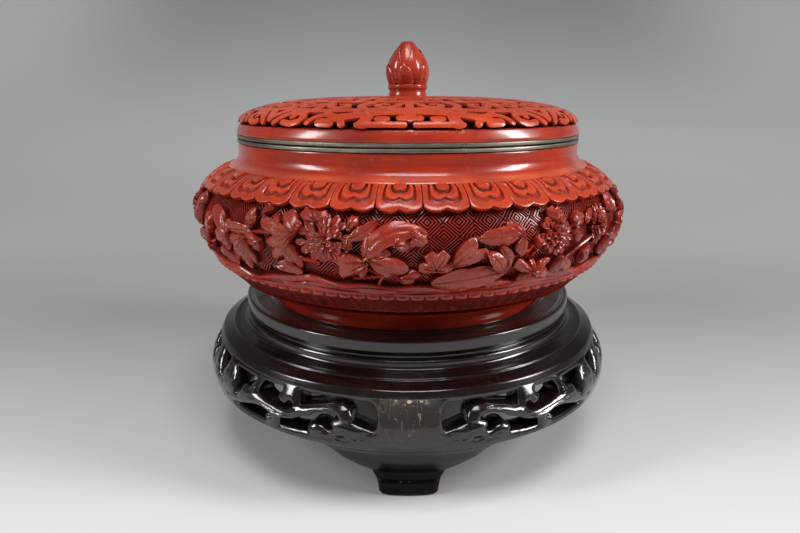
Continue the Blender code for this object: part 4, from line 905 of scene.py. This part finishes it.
LEAVES = (
    (-20.0, 25.6, leaf(90, ((58, 8, 49, 0.42), (15, 6, 49, 0.42), (-48, 6.6, 54, 0.42)), -0.9, (0, 0.05))),
    (-23.9, 30.4, leaf(128, ((0, 10.6, 49, 0.47), (-52, 5, 49, 0.51)), -0.4, (0.08, 0))),
    (-28.5, 29.5, leaf(120, ((0, 7, 44, 0.51),), -1.4)), (-33.0, 24.5, leaf(70, OVAL, -1.5, (0, -0.1))),
    (-36.1, 30.6, leaf(106, ((0, 9.2, 41, 0.77), (38, 5, 37, 0.59), (-38, 5.4, 37, 0.59)), -0.3,
      (0.12, -0.05))),
    (-24.3, 31.4, leaf(196, ((-26, 18.5, 27, 0.68), (8, 17, 22, 0.51), (34, 13.5, 22, 0.51)), -0.3,
      (0.03, 0.08), 0.9, 0.2)),
    (-33.5, 36.0, leaf(205, ((-20, 9, 49, 0.51), (30, 7, 49, 0.51)), -0.8, (-0.05, 0.1))),
    (-25.3, 34.5, leaf(262, ((-42, 14, 29, 0.51), (-4, 13, 24, 0.51), (24, 13.5, 23, 0.77)), -0.7,
      (0.05, 0.04), 0.8)),
    (-30.0, 46.0, leaf(-10, ((0, 13, 29, 0.68), (28, 7, 32, 0.68)), -0.9, (0, -0.1), 0.6)),
    (-44.1, 36.0, leaf(140, ((0, 17.5, 32, 0.77), (55, 12.5, 41, 0.59), (-60, 7, 44, 0.51),
      (100, 9, 44, 0.51)), -0.2, (-0.04, 0.02))),
    (-44.0, 33.6, blade(17, 6, 2, -28, -0.3, 0.6, 0.4, 0.9, -1.2)),
    (-38.0, 36.0, leaf(238, ((-46, 15, 24, 0.51), (-14, 18, 21, 0.51), (14, 18, 21, 0.51),
      (42, 13, 24, 0.51)), -0.5, (0.03, 0.04), 0.9, 0.1)),
    (-46.5, 42.5, leaf(250, ((-30, 12, 32, 0.51), (20, 12, 32, 0.51)), -0.8, (0, 0.05))),
    (-53.0, 36.0, leaf(170, ((-30, 10, 41, 0.59), (25, 10, 41, 0.59)), -0.7, (0.06, 0))),
    (-12.5, 31.4, blade(13.5, 4.8, 33, 26, -0.3, 0.5, 0.5, 0.5, 1.2)),
    (-12.4, 28.0, leaf(70, ((0, 6.4, 49, 0.51),), -0.8)),
    (-12.6, 36.5, leaf(80, ((0, 7, 32, 0.68),), -1.2)),
    (-9.2, 40.0, leaf(66, ((6, 12.5, 32, 0.51), (-34, 6, 32, 0.59)), -0.6, (-0.12, 0))),
    (-8.8, 39.5, blade(30, 8.6, 24, -96, 0.0, -0.5, 0.55, 0.3, 1.3)),
    (0.6, 30.6, leaf(-20, ((0, 5.6, 70, 0.4), (-70, 4.0, 50, 0.45), (80, 4.0, 50, 0.45)), 0.0, (0, 0.1),
      0.8, 0.3)),
    (-8.3, 39.2, leaf(-18, ((0, 16.5, 29, 0.51), (38, 9.4, 32, 0.51), (-26, 11, 22, 0.68)), -0.4,
      (0, -0.12), 0.9, 0.2)),
    (-3.0, 33.8, leaf(0, ((0, 6.6, 61, 0.42), (60, 4.6, 49, 0.42)), -0.5, (-0.1, 0.1))),
    (-8.5, 41.0, leaf(190, ((-12, 14.5, 29, 0.51), (18, 14.8, 27, 0.51), (50, 8, 32, 0.51)), -0.5,
      (0.04, -0.04), 0.8, 0.1)),
    (-2.4, 47.6, leaf(10, ((0, 9, 37, 0.59), (-40, 7, 37, 0.59)), -1.0)),
    (5.1, 43.6, leaf(88, ((82, 7.4, 39, 0.51), (22, 8.4, 41, 0.47), (-22, 9.0, 39, 0.47),
      (-84, 6.6, 39, 0.51)), -0.3, (0, 0.02), 0.9, 0.35)),
    (8.2, 42.4, leaf(32, ((16, 15.4, 29, 0.55), (-14, 17, 22, 0.51)), -0.6, (-0.02, 0.02), 1.0, 0.15)),
    (23.9, 31.8, blade(19, 7.6, 178, 16, -0.1, -0.6, 0.5, 0.6, 0.8)),
    (23.0, 31.4, leaf(95, ((45, 8, 44, 0.42), (0, 4.4, 44, 0.42), (175, 9, 41, 0.59)), -0.1, (0.05, 0),
      0.8, 0.2)),
    (18.3, 34.6, blade(12.6, 5.4, -68, -46, -0.5, 0.6, 0.6, 0.4, -1.4)),
    (20.4, 42.6, leaf(-120, ((0, 7, 51, 0.51),), -1.0)),
    (4.3, 48.8, blade(31, 10.4, 9, 14, 0.0, -0.5, 0.6, 0.3, -0.9)),
    (19.6, 46.6, blade(13, 6.0, 128, 60, 0.35, 0.6, 0.5, 0.2, 1.2)),
    (7.0, 52.0, blade(22, 6, -6, -16, -1.0, 0.3)),
    (16.3, 52.2, blade(12.6, 5.4, 0, 30, -0.6, 0.5, 0.6, 0.6, 0.8)),
    (26.9, 47.8, leaf(0, ((151, 11, 33, 0.55), (-134, 7.6, 37, 0.59), (-22, 12.4, 33, 0.59),
      (26, 10.4, 33, 0.68), (100, 6, 37, 0.59)), -0.5, (0, -0.03), 0.9)),
    (32.7, 27.9, leaf(80, ((30, 7, 44, 0.42), (-18, 6.6, 41, 0.42), (-66, 6, 44, 0.42)), -0.6, (0, 0.06),
      0.8, 0.3)),
    (37.9, 30.8, leaf(40, ((0, 8.4, 51, 0.51),), -0.8, (0.1, 0))),
    (37.2, 33.4, leaf(-30, ((0, 8.8, 44, 0.47), (40, 5, 44, 0.51)), -0.7)),
    (34.2, 43.2, leaf(-66, ((-24, 9.6, 37, 0.51), (22, 13, 34, 0.51)), -0.5, (0.05, -0.05), 1.0, 0.1)),
    (27.0, 38.0, leaf(60, ((0, 7, 46, 0.51),), -1.3)),
    (42.5, 44.0, leaf(-40, ((0, 11, 39, 0.51), (48, 6, 37, 0.51)), -0.8)),
    (42.6, 31.0, blade(10, 3.6, 38, -30, -0.6)),
    (54.0, 40.0, leaf(-60, ((-25, 11, 34, 0.51), (25, 11, 34, 0.51)), -0.7)),
    (57.0, 29.0, leaf(70, TRIDENT, -0.7)),
    (64.0, 38.0, leaf(-20, grown(TRIDENT, 1.2), -0.4, (0, 0.05), 0.9, 0.2)),
    (66.0, 46.0, leaf(200, MAPLE, -0.7)), (72.5, 25.0, leaf(60, OVAL, -1.0)),
    (80.0, 44.0, leaf(80, grown(TRIDENT, 1.3), -0.5)), (86.0, 31.0, leaf(160, grown(TRIDENT, 1.1), -0.6)),
    (92.0, 40.0, leaf(20, MAPLE, -0.5)), (98.0, 27.0, leaf(120, OVAL, -1.0)),
    (104.0, 36.0, leaf(190, grown(TRIDENT, 1.2), -0.6)), (-62.0, 28.0, leaf(150, TRIDENT, -0.8)),
    (-66.0, 44.0, blade(16, 7, 20, 40, -0.5, 0.5)), (-86.0, 46.0, leaf(30, MAPLE, -0.6)),
    (-92.0, 33.0, leaf(60, grown(TRIDENT, 1.2), -0.5)))
FLOWERS = (
    (-17.6, 32.4, 10.4, 1.05, 0.0), (32.6, 33.8, 8.4, 1.05, 0.0), (48.9, 33.0, 9.0, 0.85, -0.2),
    (-58.0, 47.0, 6.0, 1.0, -0.6), (-76.0, 30.0, 8.6, 1.0, -0.1), (73.5, 34.0, 9.0, 1.0, 0.0),
    (97.0, 47.0, 6.0, 1.0, -0.4))
ROCKS = (
    (-66, 33, 14, 9, 70), (-71, 47, 17, 9, 12), (-82, 41, 14, 8, 100), (60.5, 51, 14, 6, -10),
    (86, 50, 16, 7, 6))
BRANCHES = (
    ((-11.8, 49.0), ((0, 0), (9, 1.4), (18, 2.6)), 1.7), ((-9.3, 43.8), ((0, 0), (4, -2), (9, -4)), 1.5),
    ((-4.0, 45.0), ((0, 0), (-3, -3), (-5, -7)), 1.4), ((-27, 38), ((0, 0), (8, -4), (16, -5)), 1.6),
    ((16, 46), ((0, 0), (10, 5), (18, 8)), 1.5), ((24.5, 41.5), ((0, 0), (3.6, 5.4)), 1.0),
    ((26.0, 41.5), ((0, 0), (4.2, 5.0)), 1.0), ((-38, 33.5), ((0, 0), (10, 1.4), (22, 2.0)), 1.8),
    ((45.0, 38.0), ((0, 0), (-8, -3), (-16, -8)), 1.5), ((-52, 42), ((0, 0), (-12, -4), (-22, -2)), 1.6),
    ((62, 42), ((0, 0), (12, 6), (24, 4)), 1.6), ((-80, 38), ((0, 0), (-8, -3), (-18, 2)), 1.6),
    ((84, 40), ((0, 0), (10, 2), (22, -3)), 1.6))
leaves = list(LEAVES)
leaves += [(azimuth, drop, rock(*form)) for azimuth, drop, *form in ROCKS]
leaves += [(azimuth, drop, stem(line, width)) for (azimuth, drop), line, width in BRANCHES]
leaves = [patch for azimuth, drop, shape in leaves for patch in laid(azimuth, drop, [shape])]
flowers = [patch for azimuth, drop, radius, squash, low in FLOWERS
           for patch in laid(azimuth, drop, peony(radius, squash, 17.0 * azimuth, low))]
skin("belly_leaves", leaves, carved_lacquer, 42.0, "body_lacquer", "box_body")
skin("belly_flowers", flowers, carved_lacquer, 42.0, "body_lacquer", "box_body")


# Two thin metal rims bound on the mouth and on the lid's edge, of aged grey-brown brass, with a dark
# seam between them. The lower one has the flange that centres the lid.
def aged_brass(name):
    """Brass gone grey-brown: cloudy tarnish with a few rubbed yellow places and fine scratches."""
    material, tree, shader = new_material(name, Metallic=0.85)
    place, *_ = object_place(tree)
    cloud, streak, scratch = worn(tree, place)
    colour = blend(tree, cloud, (0.17, 0.15, 0.115), (0.27, 0.245, 0.20))
    rubbed = in_range(tree, cloudy(tree, place, 42.0, 3.0), 0.63, 0.75)
    colour = blend(tree, rubbed, colour, (0.62, 0.50, 0.26))
    colour = blend(tree, in_range(tree, scratch, 0.0, 1.0, 0.0, 0.5), colour, (0.5, 0.45, 0.35))
    tree.links.new(colour, shader.inputs["Base Color"])
    tree.links.new(in_range(tree, streak, 0.0, 1.0, 0.34, 0.5), shader.inputs["Roughness"])
    bumped(tree, shader, streak, 0.1, 0.0003)
    return material


BODY_RIM = eased([
    (82.7, 156.1, 0), (82.7, 160.4, 0.2), (81.5, 160.4, 0.2), (81.5, 154.5, 0.2), (87.8, 154.5, 0.3),
    (87.8, 156.1, 0.55), (82.7, 156.1, 0)], 3)[::-1]
LID_RIM = eased([
    (83.4, 156.9, 0), (83.4, 158.2, 0.2), (87.8, 158.2, 0.3), (87.8, 156.6, 0.55), (83.4, 156.6, 0.2),
    (83.4, 156.9, 0)], 3)
skin("mouth_rim", [(turned(BODY_RIM), 1.0, 0.0)], aged_brass("aged brass of the mouth"), 40.0,
     "body_rim_metal", "body_rim")
skin("lid_edge_rim", [(turned(LID_RIM), 1.0, 0.0)], aged_brass("aged brass of the lid"), 40.0,
     "lid_rim_metal", "lid_rim")


# The lid, a shallow hollow dome of the same lacquer with a plain rolled band at its edge and a black
# inside. Its top is cut through a thick coat into frets, leafy scrolls and cloud curls, flat on top.
CROWN_EDGE, CROWN_FOOT, CROWN_RISE = 87.1, 162.9, 13.5
crown_reach = np.concatenate([np.linspace(0.0, 70.0, 60), np.linspace(70.5, CROWN_EDGE, 120)])
crown_level = CROWN_FOOT + CROWN_RISE * (1.0 - np.clip(crown_reach / CROWN_EDGE, 0, 1) ** 2.8) ** 0.42
crown_way = np.concatenate([[0.0], np.cumsum(np.hypot(np.diff(crown_reach), np.diff(crown_level)))])
crown_run = np.gradient(np.stack([crown_reach, crown_level]), crown_way, axis=1)
CROWN = crown_way[-1]
CROWN_MARGIN, JOINT_RING, KNOB_RING, RING_HALF, LID_GROUND, TOP_ROUNDING = 0.9, 47.0, 10.0, 1.6, -3.7, 0.14


def on_lid(spots, height):
    """Points of the crown for flat spots: a spot's distance from the middle is the way along the crown's
    profile, and it is raised off the face by a height."""
    way = np.hypot(spots[..., 0], spots[..., 1])
    radius, level = np.interp(way, crown_way, crown_reach), np.interp(way, crown_way, crown_level)
    run, fall = np.interp(way, crown_way, crown_run[0]), np.interp(way, crown_way, crown_run[1])
    size = np.hypot(run, fall)
    turn = np.arctan2(spots[..., 0], spots[..., 1])
    return around(radius - height * fall / size, turn, level + height * run / size)


def strap(width, *points, last=None):
    """Flat-topped strap through (azimuth, inset) points, rounded by averaging: its path and half widths."""
    azimuth, way = np.radians([spot[0] for spot in points]), CROWN - np.array([spot[1] for spot in points])
    share = np.linspace(0, len(points) - 1, 6 * (len(points) - 1) + 1)
    path = np.stack([np.interp(share, np.arange(len(points)), value)
                     for value in (way * np.sin(azimuth), way * np.cos(azimuth))], axis=-1)
    for _ in range(3):
        path[1:-1] = (path[:-2] + 2 * path[1:-1] + path[2:]) / 4
    return path, np.linspace(width, last or width, len(path)) / 2


def cloud_curl(azimuth, inset, radius, start, sweep, width):
    """Curl of cloud: a strap on a spiral whose reach shrinks evenly to about a fifth over its sweep."""
    share = np.linspace(0.0, 1.0, 22)
    turn = np.radians(start + sweep * share)
    reach = radius * (1.0 - 0.78 * share)
    place = math.radians(azimuth)
    across, outward = np.array([[math.cos(place), -math.sin(place)], [math.sin(place), math.cos(place)]])
    along, out = reach * np.cos(turn), CROWN - inset - reach * np.sin(turn)
    return along[:, None] * across + out[:, None] * outward, 0.5 * width * (1.0 - 0.2 * share)


STRAPS = (
    strap(2.7, (1.6, 2.8), (8, 2.8), (14.2, 2.6)), strap(3.0, (6.4, 6.0), (8.8, 6.0)),
    strap(3.2, (7.6, 6.0), (7.6, 3.2)), strap(3.6, (0, 6.6), (2.6, 6.6)), strap(4.5, (0, 6.6), (0, 12)),
    strap(5.2, (0, 11.8), (6, 11.4), (11, 10.4), (16, 8.4), (20.5, 6.6)),
    strap(3.0, (19.8, 7), (18.6, 2.7)), strap(4.8, (12.2, 10), (11.9, 6), (12.8, 3)),
    strap(4.3, (22.4, 3.4), (25.4, 3.6)), strap(4.0, (23, 3.4), (21.2, 7)),
    strap(4.0, (20.5, 6.6), (24, 8.8), (27, 7.4), (29.6, 3.2), last=2.2),
    strap(3.0, (38.4, 3.2), (35.4, 2.4), (32.6, 3.8), (31.7, 6.6), (33, 9.3), (35.6, 8.8), (35.8, 6.4)),
    strap(4.3, (36.2, 11.8), (39, 8), (41.2, 4.6), (42.4, 2.6), last=2.4),
    strap(3.8, (45, 5.0), (43.2, 8.8), (41, 12.4)),
    strap(4.0, (0, 15.4), (10, 15.0), (20, 13.2), (30, 12.4), (38, 13.2), (45, 14.8)),
    strap(3.5, (24, 8.8), (25.5, 13)), strap(3.4, (33, 9.3), (32.4, 12.6)),
    strap(3.0, (15, 9), (16.5, 13.8)), cloud_curl(8.5, 22.4, 5.6, 160, 330, 3.2),
    cloud_curl(24.0, 21.2, 5.6, 20, -330, 3.2), cloud_curl(38.5, 22.0, 5.4, 160, 330, 3.2),
    strap(3.5, (0, 15), (0, 27)), strap(3.4, (14, 27.6), (16.6, 24), (16.4, 19), (14, 15)),
    strap(3.4, (31.5, 28), (31.6, 22), (31.4, 15)), strap(3.8, (45, 15), (45, 28)),
    strap(2.8, (2.5, 25.5), (0, 28.5)), strap(2.8, (42.5, 26.4), (45, 29.5)),
    strap(3.5, (0, 29.6), (12, 30.4), (22, 28.8), (33, 30.4), (45, 29.4)),
    cloud_curl(12.0, 37.0, 5.0, 200, -330, 3.0), cloud_curl(33.0, 37.0, 5.0, -20, 330, 3.0),
    strap(4.0, (0, 30), (0, 40), last=2.2), strap(4.0, (22.5, 29), (22.5, 45)),
    strap(4.0, (45, 30), (45, 40), last=2.2), strap(2.8, (4.5, 33), (0, 36.5)),
    strap(2.8, (40.5, 33), (45, 36.5)), strap(3.0, (3.5, 43.5), (0, 47.5)),
    strap(3.0, (41.5, 43.5), (45, 47.5)), cloud_curl(11.5, 57.0, 4.7, 160, 330, 2.9),
    cloud_curl(33.5, 57.0, 4.7, 20, -330, 2.9), strap(3.5, (22.5, 48), (22.5, 62), last=2.0),
    strap(3.4, (0, 49), (0, 66)), strap(3.4, (45, 49), (45, 66)),
    strap(2.8, (0, 66), (22.5, 67.5), (45, 66)), strap(5.5, (0, 68), (0, 80), last=2.8),
    strap(5.5, (45, 68), (45, 80), last=2.8), strap(4.8, (22.5, 69), (22.5, 80), last=2.6))


def strap_cover(spots):
    """How far each flat spot lies inside the straps' edges, and the direction out of its nearest strap. The
    straps are mirrored about both sides of the eighth that is worked out."""
    cover, outward = np.full(len(spots), -9.0), np.zeros((len(spots), 2))
    for path, half in STRAPS:
        for mirror in (((1, 0), (0, 1)), ((-1, 0), (0, 1)), ((0, 1), (1, 0))):
            line = path @ np.array(mirror, float)
            run = line[1:] - line[:-1]
            offset = spots[:, None] - line[:-1]
            share = np.clip((offset * run).sum(-1) / np.maximum((run ** 2).sum(-1), 1e-9), 0.0, 1.0)
            offset = offset - share[..., None] * run
            away = np.hypot(offset[..., 0], offset[..., 1])
            inside = half[:-1] + share * (half[1:] - half[:-1]) - away
            best = inside.argmax(1)
            pick = np.arange(len(spots))
            better = inside[pick, best] > cover
            cover = np.where(better, inside[pick, best], cover)
            step = offset[pick, best] / np.maximum(away[pick, best], 1e-6)[:, None]
            outward = np.where(better[:, None], step, outward)
    return cover, outward


def lid_eighth(outer, inner, columns, rows):
    """Eighth of a ring of the crown as a fine grid. Spots next to a strap's edge are moved on to it, those
    inside to its top and those outside to its foot, so that the walls are sheer and follow the edge, and
    each square is split so that no triangle cuts a corner. A plain rim stands round both ends of the ring."""
    turn = np.radians(np.linspace(0.0, 45.0, columns + 1))[None, :]
    way = np.linspace(outer, inner, rows + 1)[:, None]
    spots = np.stack([way * np.sin(turn), way * np.cos(turn)], axis=-1)
    cover, outward = strap_cover(spots.reshape(-1, 2))
    cover, outward = cover.reshape(rows + 1, columns + 1), outward.reshape(rows + 1, columns + 1, 2)
    for rim in (JOINT_RING, KNOB_RING):
        ring = RING_HALF - np.abs(way - rim) + 0.0 * turn
        side = np.sign(way - rim)[..., None] * spots / way[..., None]
        outward = np.where((ring > cover)[..., None], side, outward)
        cover = np.maximum(cover, ring)
    inside = cover > 0.0
    near = np.zeros_like(inside)
    for marks, grid in ((near, inside), (near.T, inside.T)):
        edge = grid[1:] != grid[:-1]
        marks[1:] |= edge
        marks[:-1] |= edge
    near &= np.abs(cover) < 1.25 * (outer - inner) / rows
    move = np.where(near, cover + np.where(inside, 0.0, 0.12), 0.0)[..., None] * outward
    move[:, 0, 0] = 0.0
    move[:, -1] = move[:, -1].mean(axis=-1, keepdims=True)
    move[[0, -1]] = 0.0
    spots = spots + move
    top = -TOP_ROUNDING * np.where(near, 1.0, np.exp(-np.clip(cover, 0, 9) / 0.5))
    height = np.where(inside, top, LID_GROUND)
    # The ground between the straps gets depth 0, painted shade; the straps' edges get a painted highlight.
    depth, painted_edge_highlight = inside.astype(float), 0.6 * (inside & near)
    corners = quads(rows + 1, columns + 1)
    high = inside.ravel()[corners]
    odd = high != (high.sum(1) > 2)[:, None]
    lone = (odd.sum(1) == 1) & (odd[:, 0] | odd[:, 2])
    first = np.where(lone[:, None], corners[:, [0, 1, 3]], corners[:, [0, 1, 2]])
    second = np.where(lone[:, None], corners[:, [1, 2, 3]], corners[:, [0, 2, 3]])
    return spots, height, depth, painted_edge_highlight, np.concatenate([first, second])


lid_carving = []
for outer, inner, columns, rows in ((CROWN - CROWN_MARGIN, JOINT_RING, 104, 72), (JOINT_RING, 8.6, 52, 58)):
    spots, height, depth, painted_edge_highlight, triangles = lid_eighth(outer, inner, columns, rows)
    for quarter in 0.5 * math.pi * np.arange(4):
        spin = np.array(((math.cos(quarter), -math.sin(quarter)), (math.sin(quarter), math.cos(quarter))))
        lid_carving.append((on_lid(spots @ spin, height), depth, painted_edge_highlight, triangles))
        lid_carving.append((on_lid((spots * (-1.0, 1.0)) @ spin, height), depth, painted_edge_highlight, triangles[:, ::-1]))
_, ground_y, ground_z = on_lid(np.array([[0.0, CROWN - CROWN_MARGIN]]), np.array([LID_GROUND]))[0]
LID_PROFILE = np.concatenate([
    [(-ground_y, ground_z), (-ground_y + 0.3, 163.5)],
    eased([(85.2, 163.4, 0), (86.1, 163.3, 0.5), (87.2, 161.1, 1.3), (87.8, 159.0, 0.8), (87.5, 158.5, 0.1),
           (83.7, 158.5, 0.2), (83.7, 161.9, 0.3), (83.0, 163.0, 0)], 5)])
# Its pit colour, near black, is painted shade on the cut ground between the straps.
lid_lacquer = lacquer("lid cinnabar lacquer", (0.62, 0.062, 0.010), (0.42, 0.034, 0.008), 0.24, 0.3,
                      (0.55, 1.0), (0.020, 0.0026, 0.0024))
band_lacquer = lacquer("chipped cinnabar lacquer of the lid's band", *PLAIN_REDS, 0.22,
                       chips=((0.0016, -0.0862, 0.1648), (0.020, -0.0836, 0.1648)))
skin("lid_shell", [(turned(LID_PROFILE), 0.62, 0.0)], band_lacquer, 40.0, "lid_lacquer", "lid")
skin("lid_inside", [(turned([(83.0, 163.0), (74.7, 165.9), (60.0, 167.6), (0.0, 168.6)], 128), 1.0, 0.0)],
     black_lacquer, 40.0, "lid_lacquer", "lid")
skin("lid_carving", lid_carving, lid_lacquer, 38.0, "lid_lacquer", "lid")


# The knob, a lotus bud on a turned collar pinned through the lid: a low tier of round petals, taller
# pointed ones between them, and the closed tip.
BUD_BASE, BUD_TIP, BUD_PETALS = 181.8, 203.1, 6
BUD_CORE = np.array([
    (0.0, 8.2), (2.0, 9.1), (5.3, 9.9), (8.8, 10.1), (12.5, 8.7), (16.4, 6.5), (19.2, 4.4), (20.8, 3.1),
    (21.3, 2.0)])


def bud_face(level):
    """Radius of the bud's core at a height above its base."""
    return np.interp(level, *BUD_CORE.T)


def bud_petal(azimuth, low, high, half_width, swell):
    """Petal on the bud: its half width is a pointed arch of the way up, it bulges off the core at its
    middle, and it drops to the core in a sheer wall all round, painted dark as shade."""
    along = np.array([1.02, 1.0, 0.97, 0.92, 0.86, 0.78, 0.68, 0.56, 0.42, 0.28, 0.14, 0.0])[:, None]
    side = np.array([-1.09, -1, -0.93, -0.75, -0.5, -0.25, 0, 0.25, 0.5, 0.75, 0.93, 1, 1.09])[None, :]
    arch = np.clip(1.0 - np.clip(along, 0, 0.998) ** 2.2, 0.0, 1.0) ** 0.7
    level = low + (high - low) * (along - 0.06 * side ** 2 * along)
    wall = (np.abs(side) > 1.01) | (along > 1.01)
    bulge = swell * (0.5 + 0.5 * (1.0 - side ** 2) * (1.0 - 0.5 * along ** 4))
    radius = bud_face(level) + np.where(wall, -0.9, bulge)
    turn = np.radians(azimuth + half_width * side * (0.04 + 0.96 * arch))
    edge = ((np.abs(side) > 0.9) | (along > 0.98)) & ~wall
    depth = np.where(wall, 0.0, np.where(np.abs(side) > 0.97, 0.2, 0.9))
    return around(radius, turn, BUD_BASE + level), depth, 0.4 * edge


KNOB_COLLAR = eased([
    (0.0, 184.5, 0), (9.2, 181.9, 0.3), (10.2, 181.9, 0.4), (10.3, 180.2, 0.4), (9.7, 179.5, 0.4),
    (9.5, 178.4, 0.5), (9.9, 177.0, 0.3), (9.9, 176.3, 0.1), (0.0, 176.3, 0)], 4)
core_level = np.linspace(BUD_CORE[-1, 0], 0.0, 20)
core = np.stack([bud_face(core_level), core_level + BUD_BASE], axis=-1)
core = np.concatenate([[(0.0, BUD_TIP)], core])
# The core shows in the gaps between petals and at the tip; its depth of 0.35 paints it part way to the dark
# pit colour, painted shade in the gaps.
bud = [(turned(core, 48), 0.35, 0.0), (turned(KNOB_COLLAR, 96), 0.9, 0.0)]
for azimuth in 360.0 / BUD_PETALS * np.arange(BUD_PETALS):
    for start, *petal in ((-11.0, 0.1, 10.4, 27.5, 1.7), (19.0, 1.0, 17.6, 27.0, 0.9),
                          (-11.0, 8.0, 20.9, 27.0, 0.35)):
        bud.append(bud_petal(start + azimuth, *petal))
knob_lacquer = lacquer("knob cinnabar lacquer", (0.42, 0.034, 0.014), (0.26, 0.018, 0.010), 0.16, 0.3)
skin("lotus_bud_knob", bud, knob_lacquer, 40.0, "knob_lacquer", "knob")
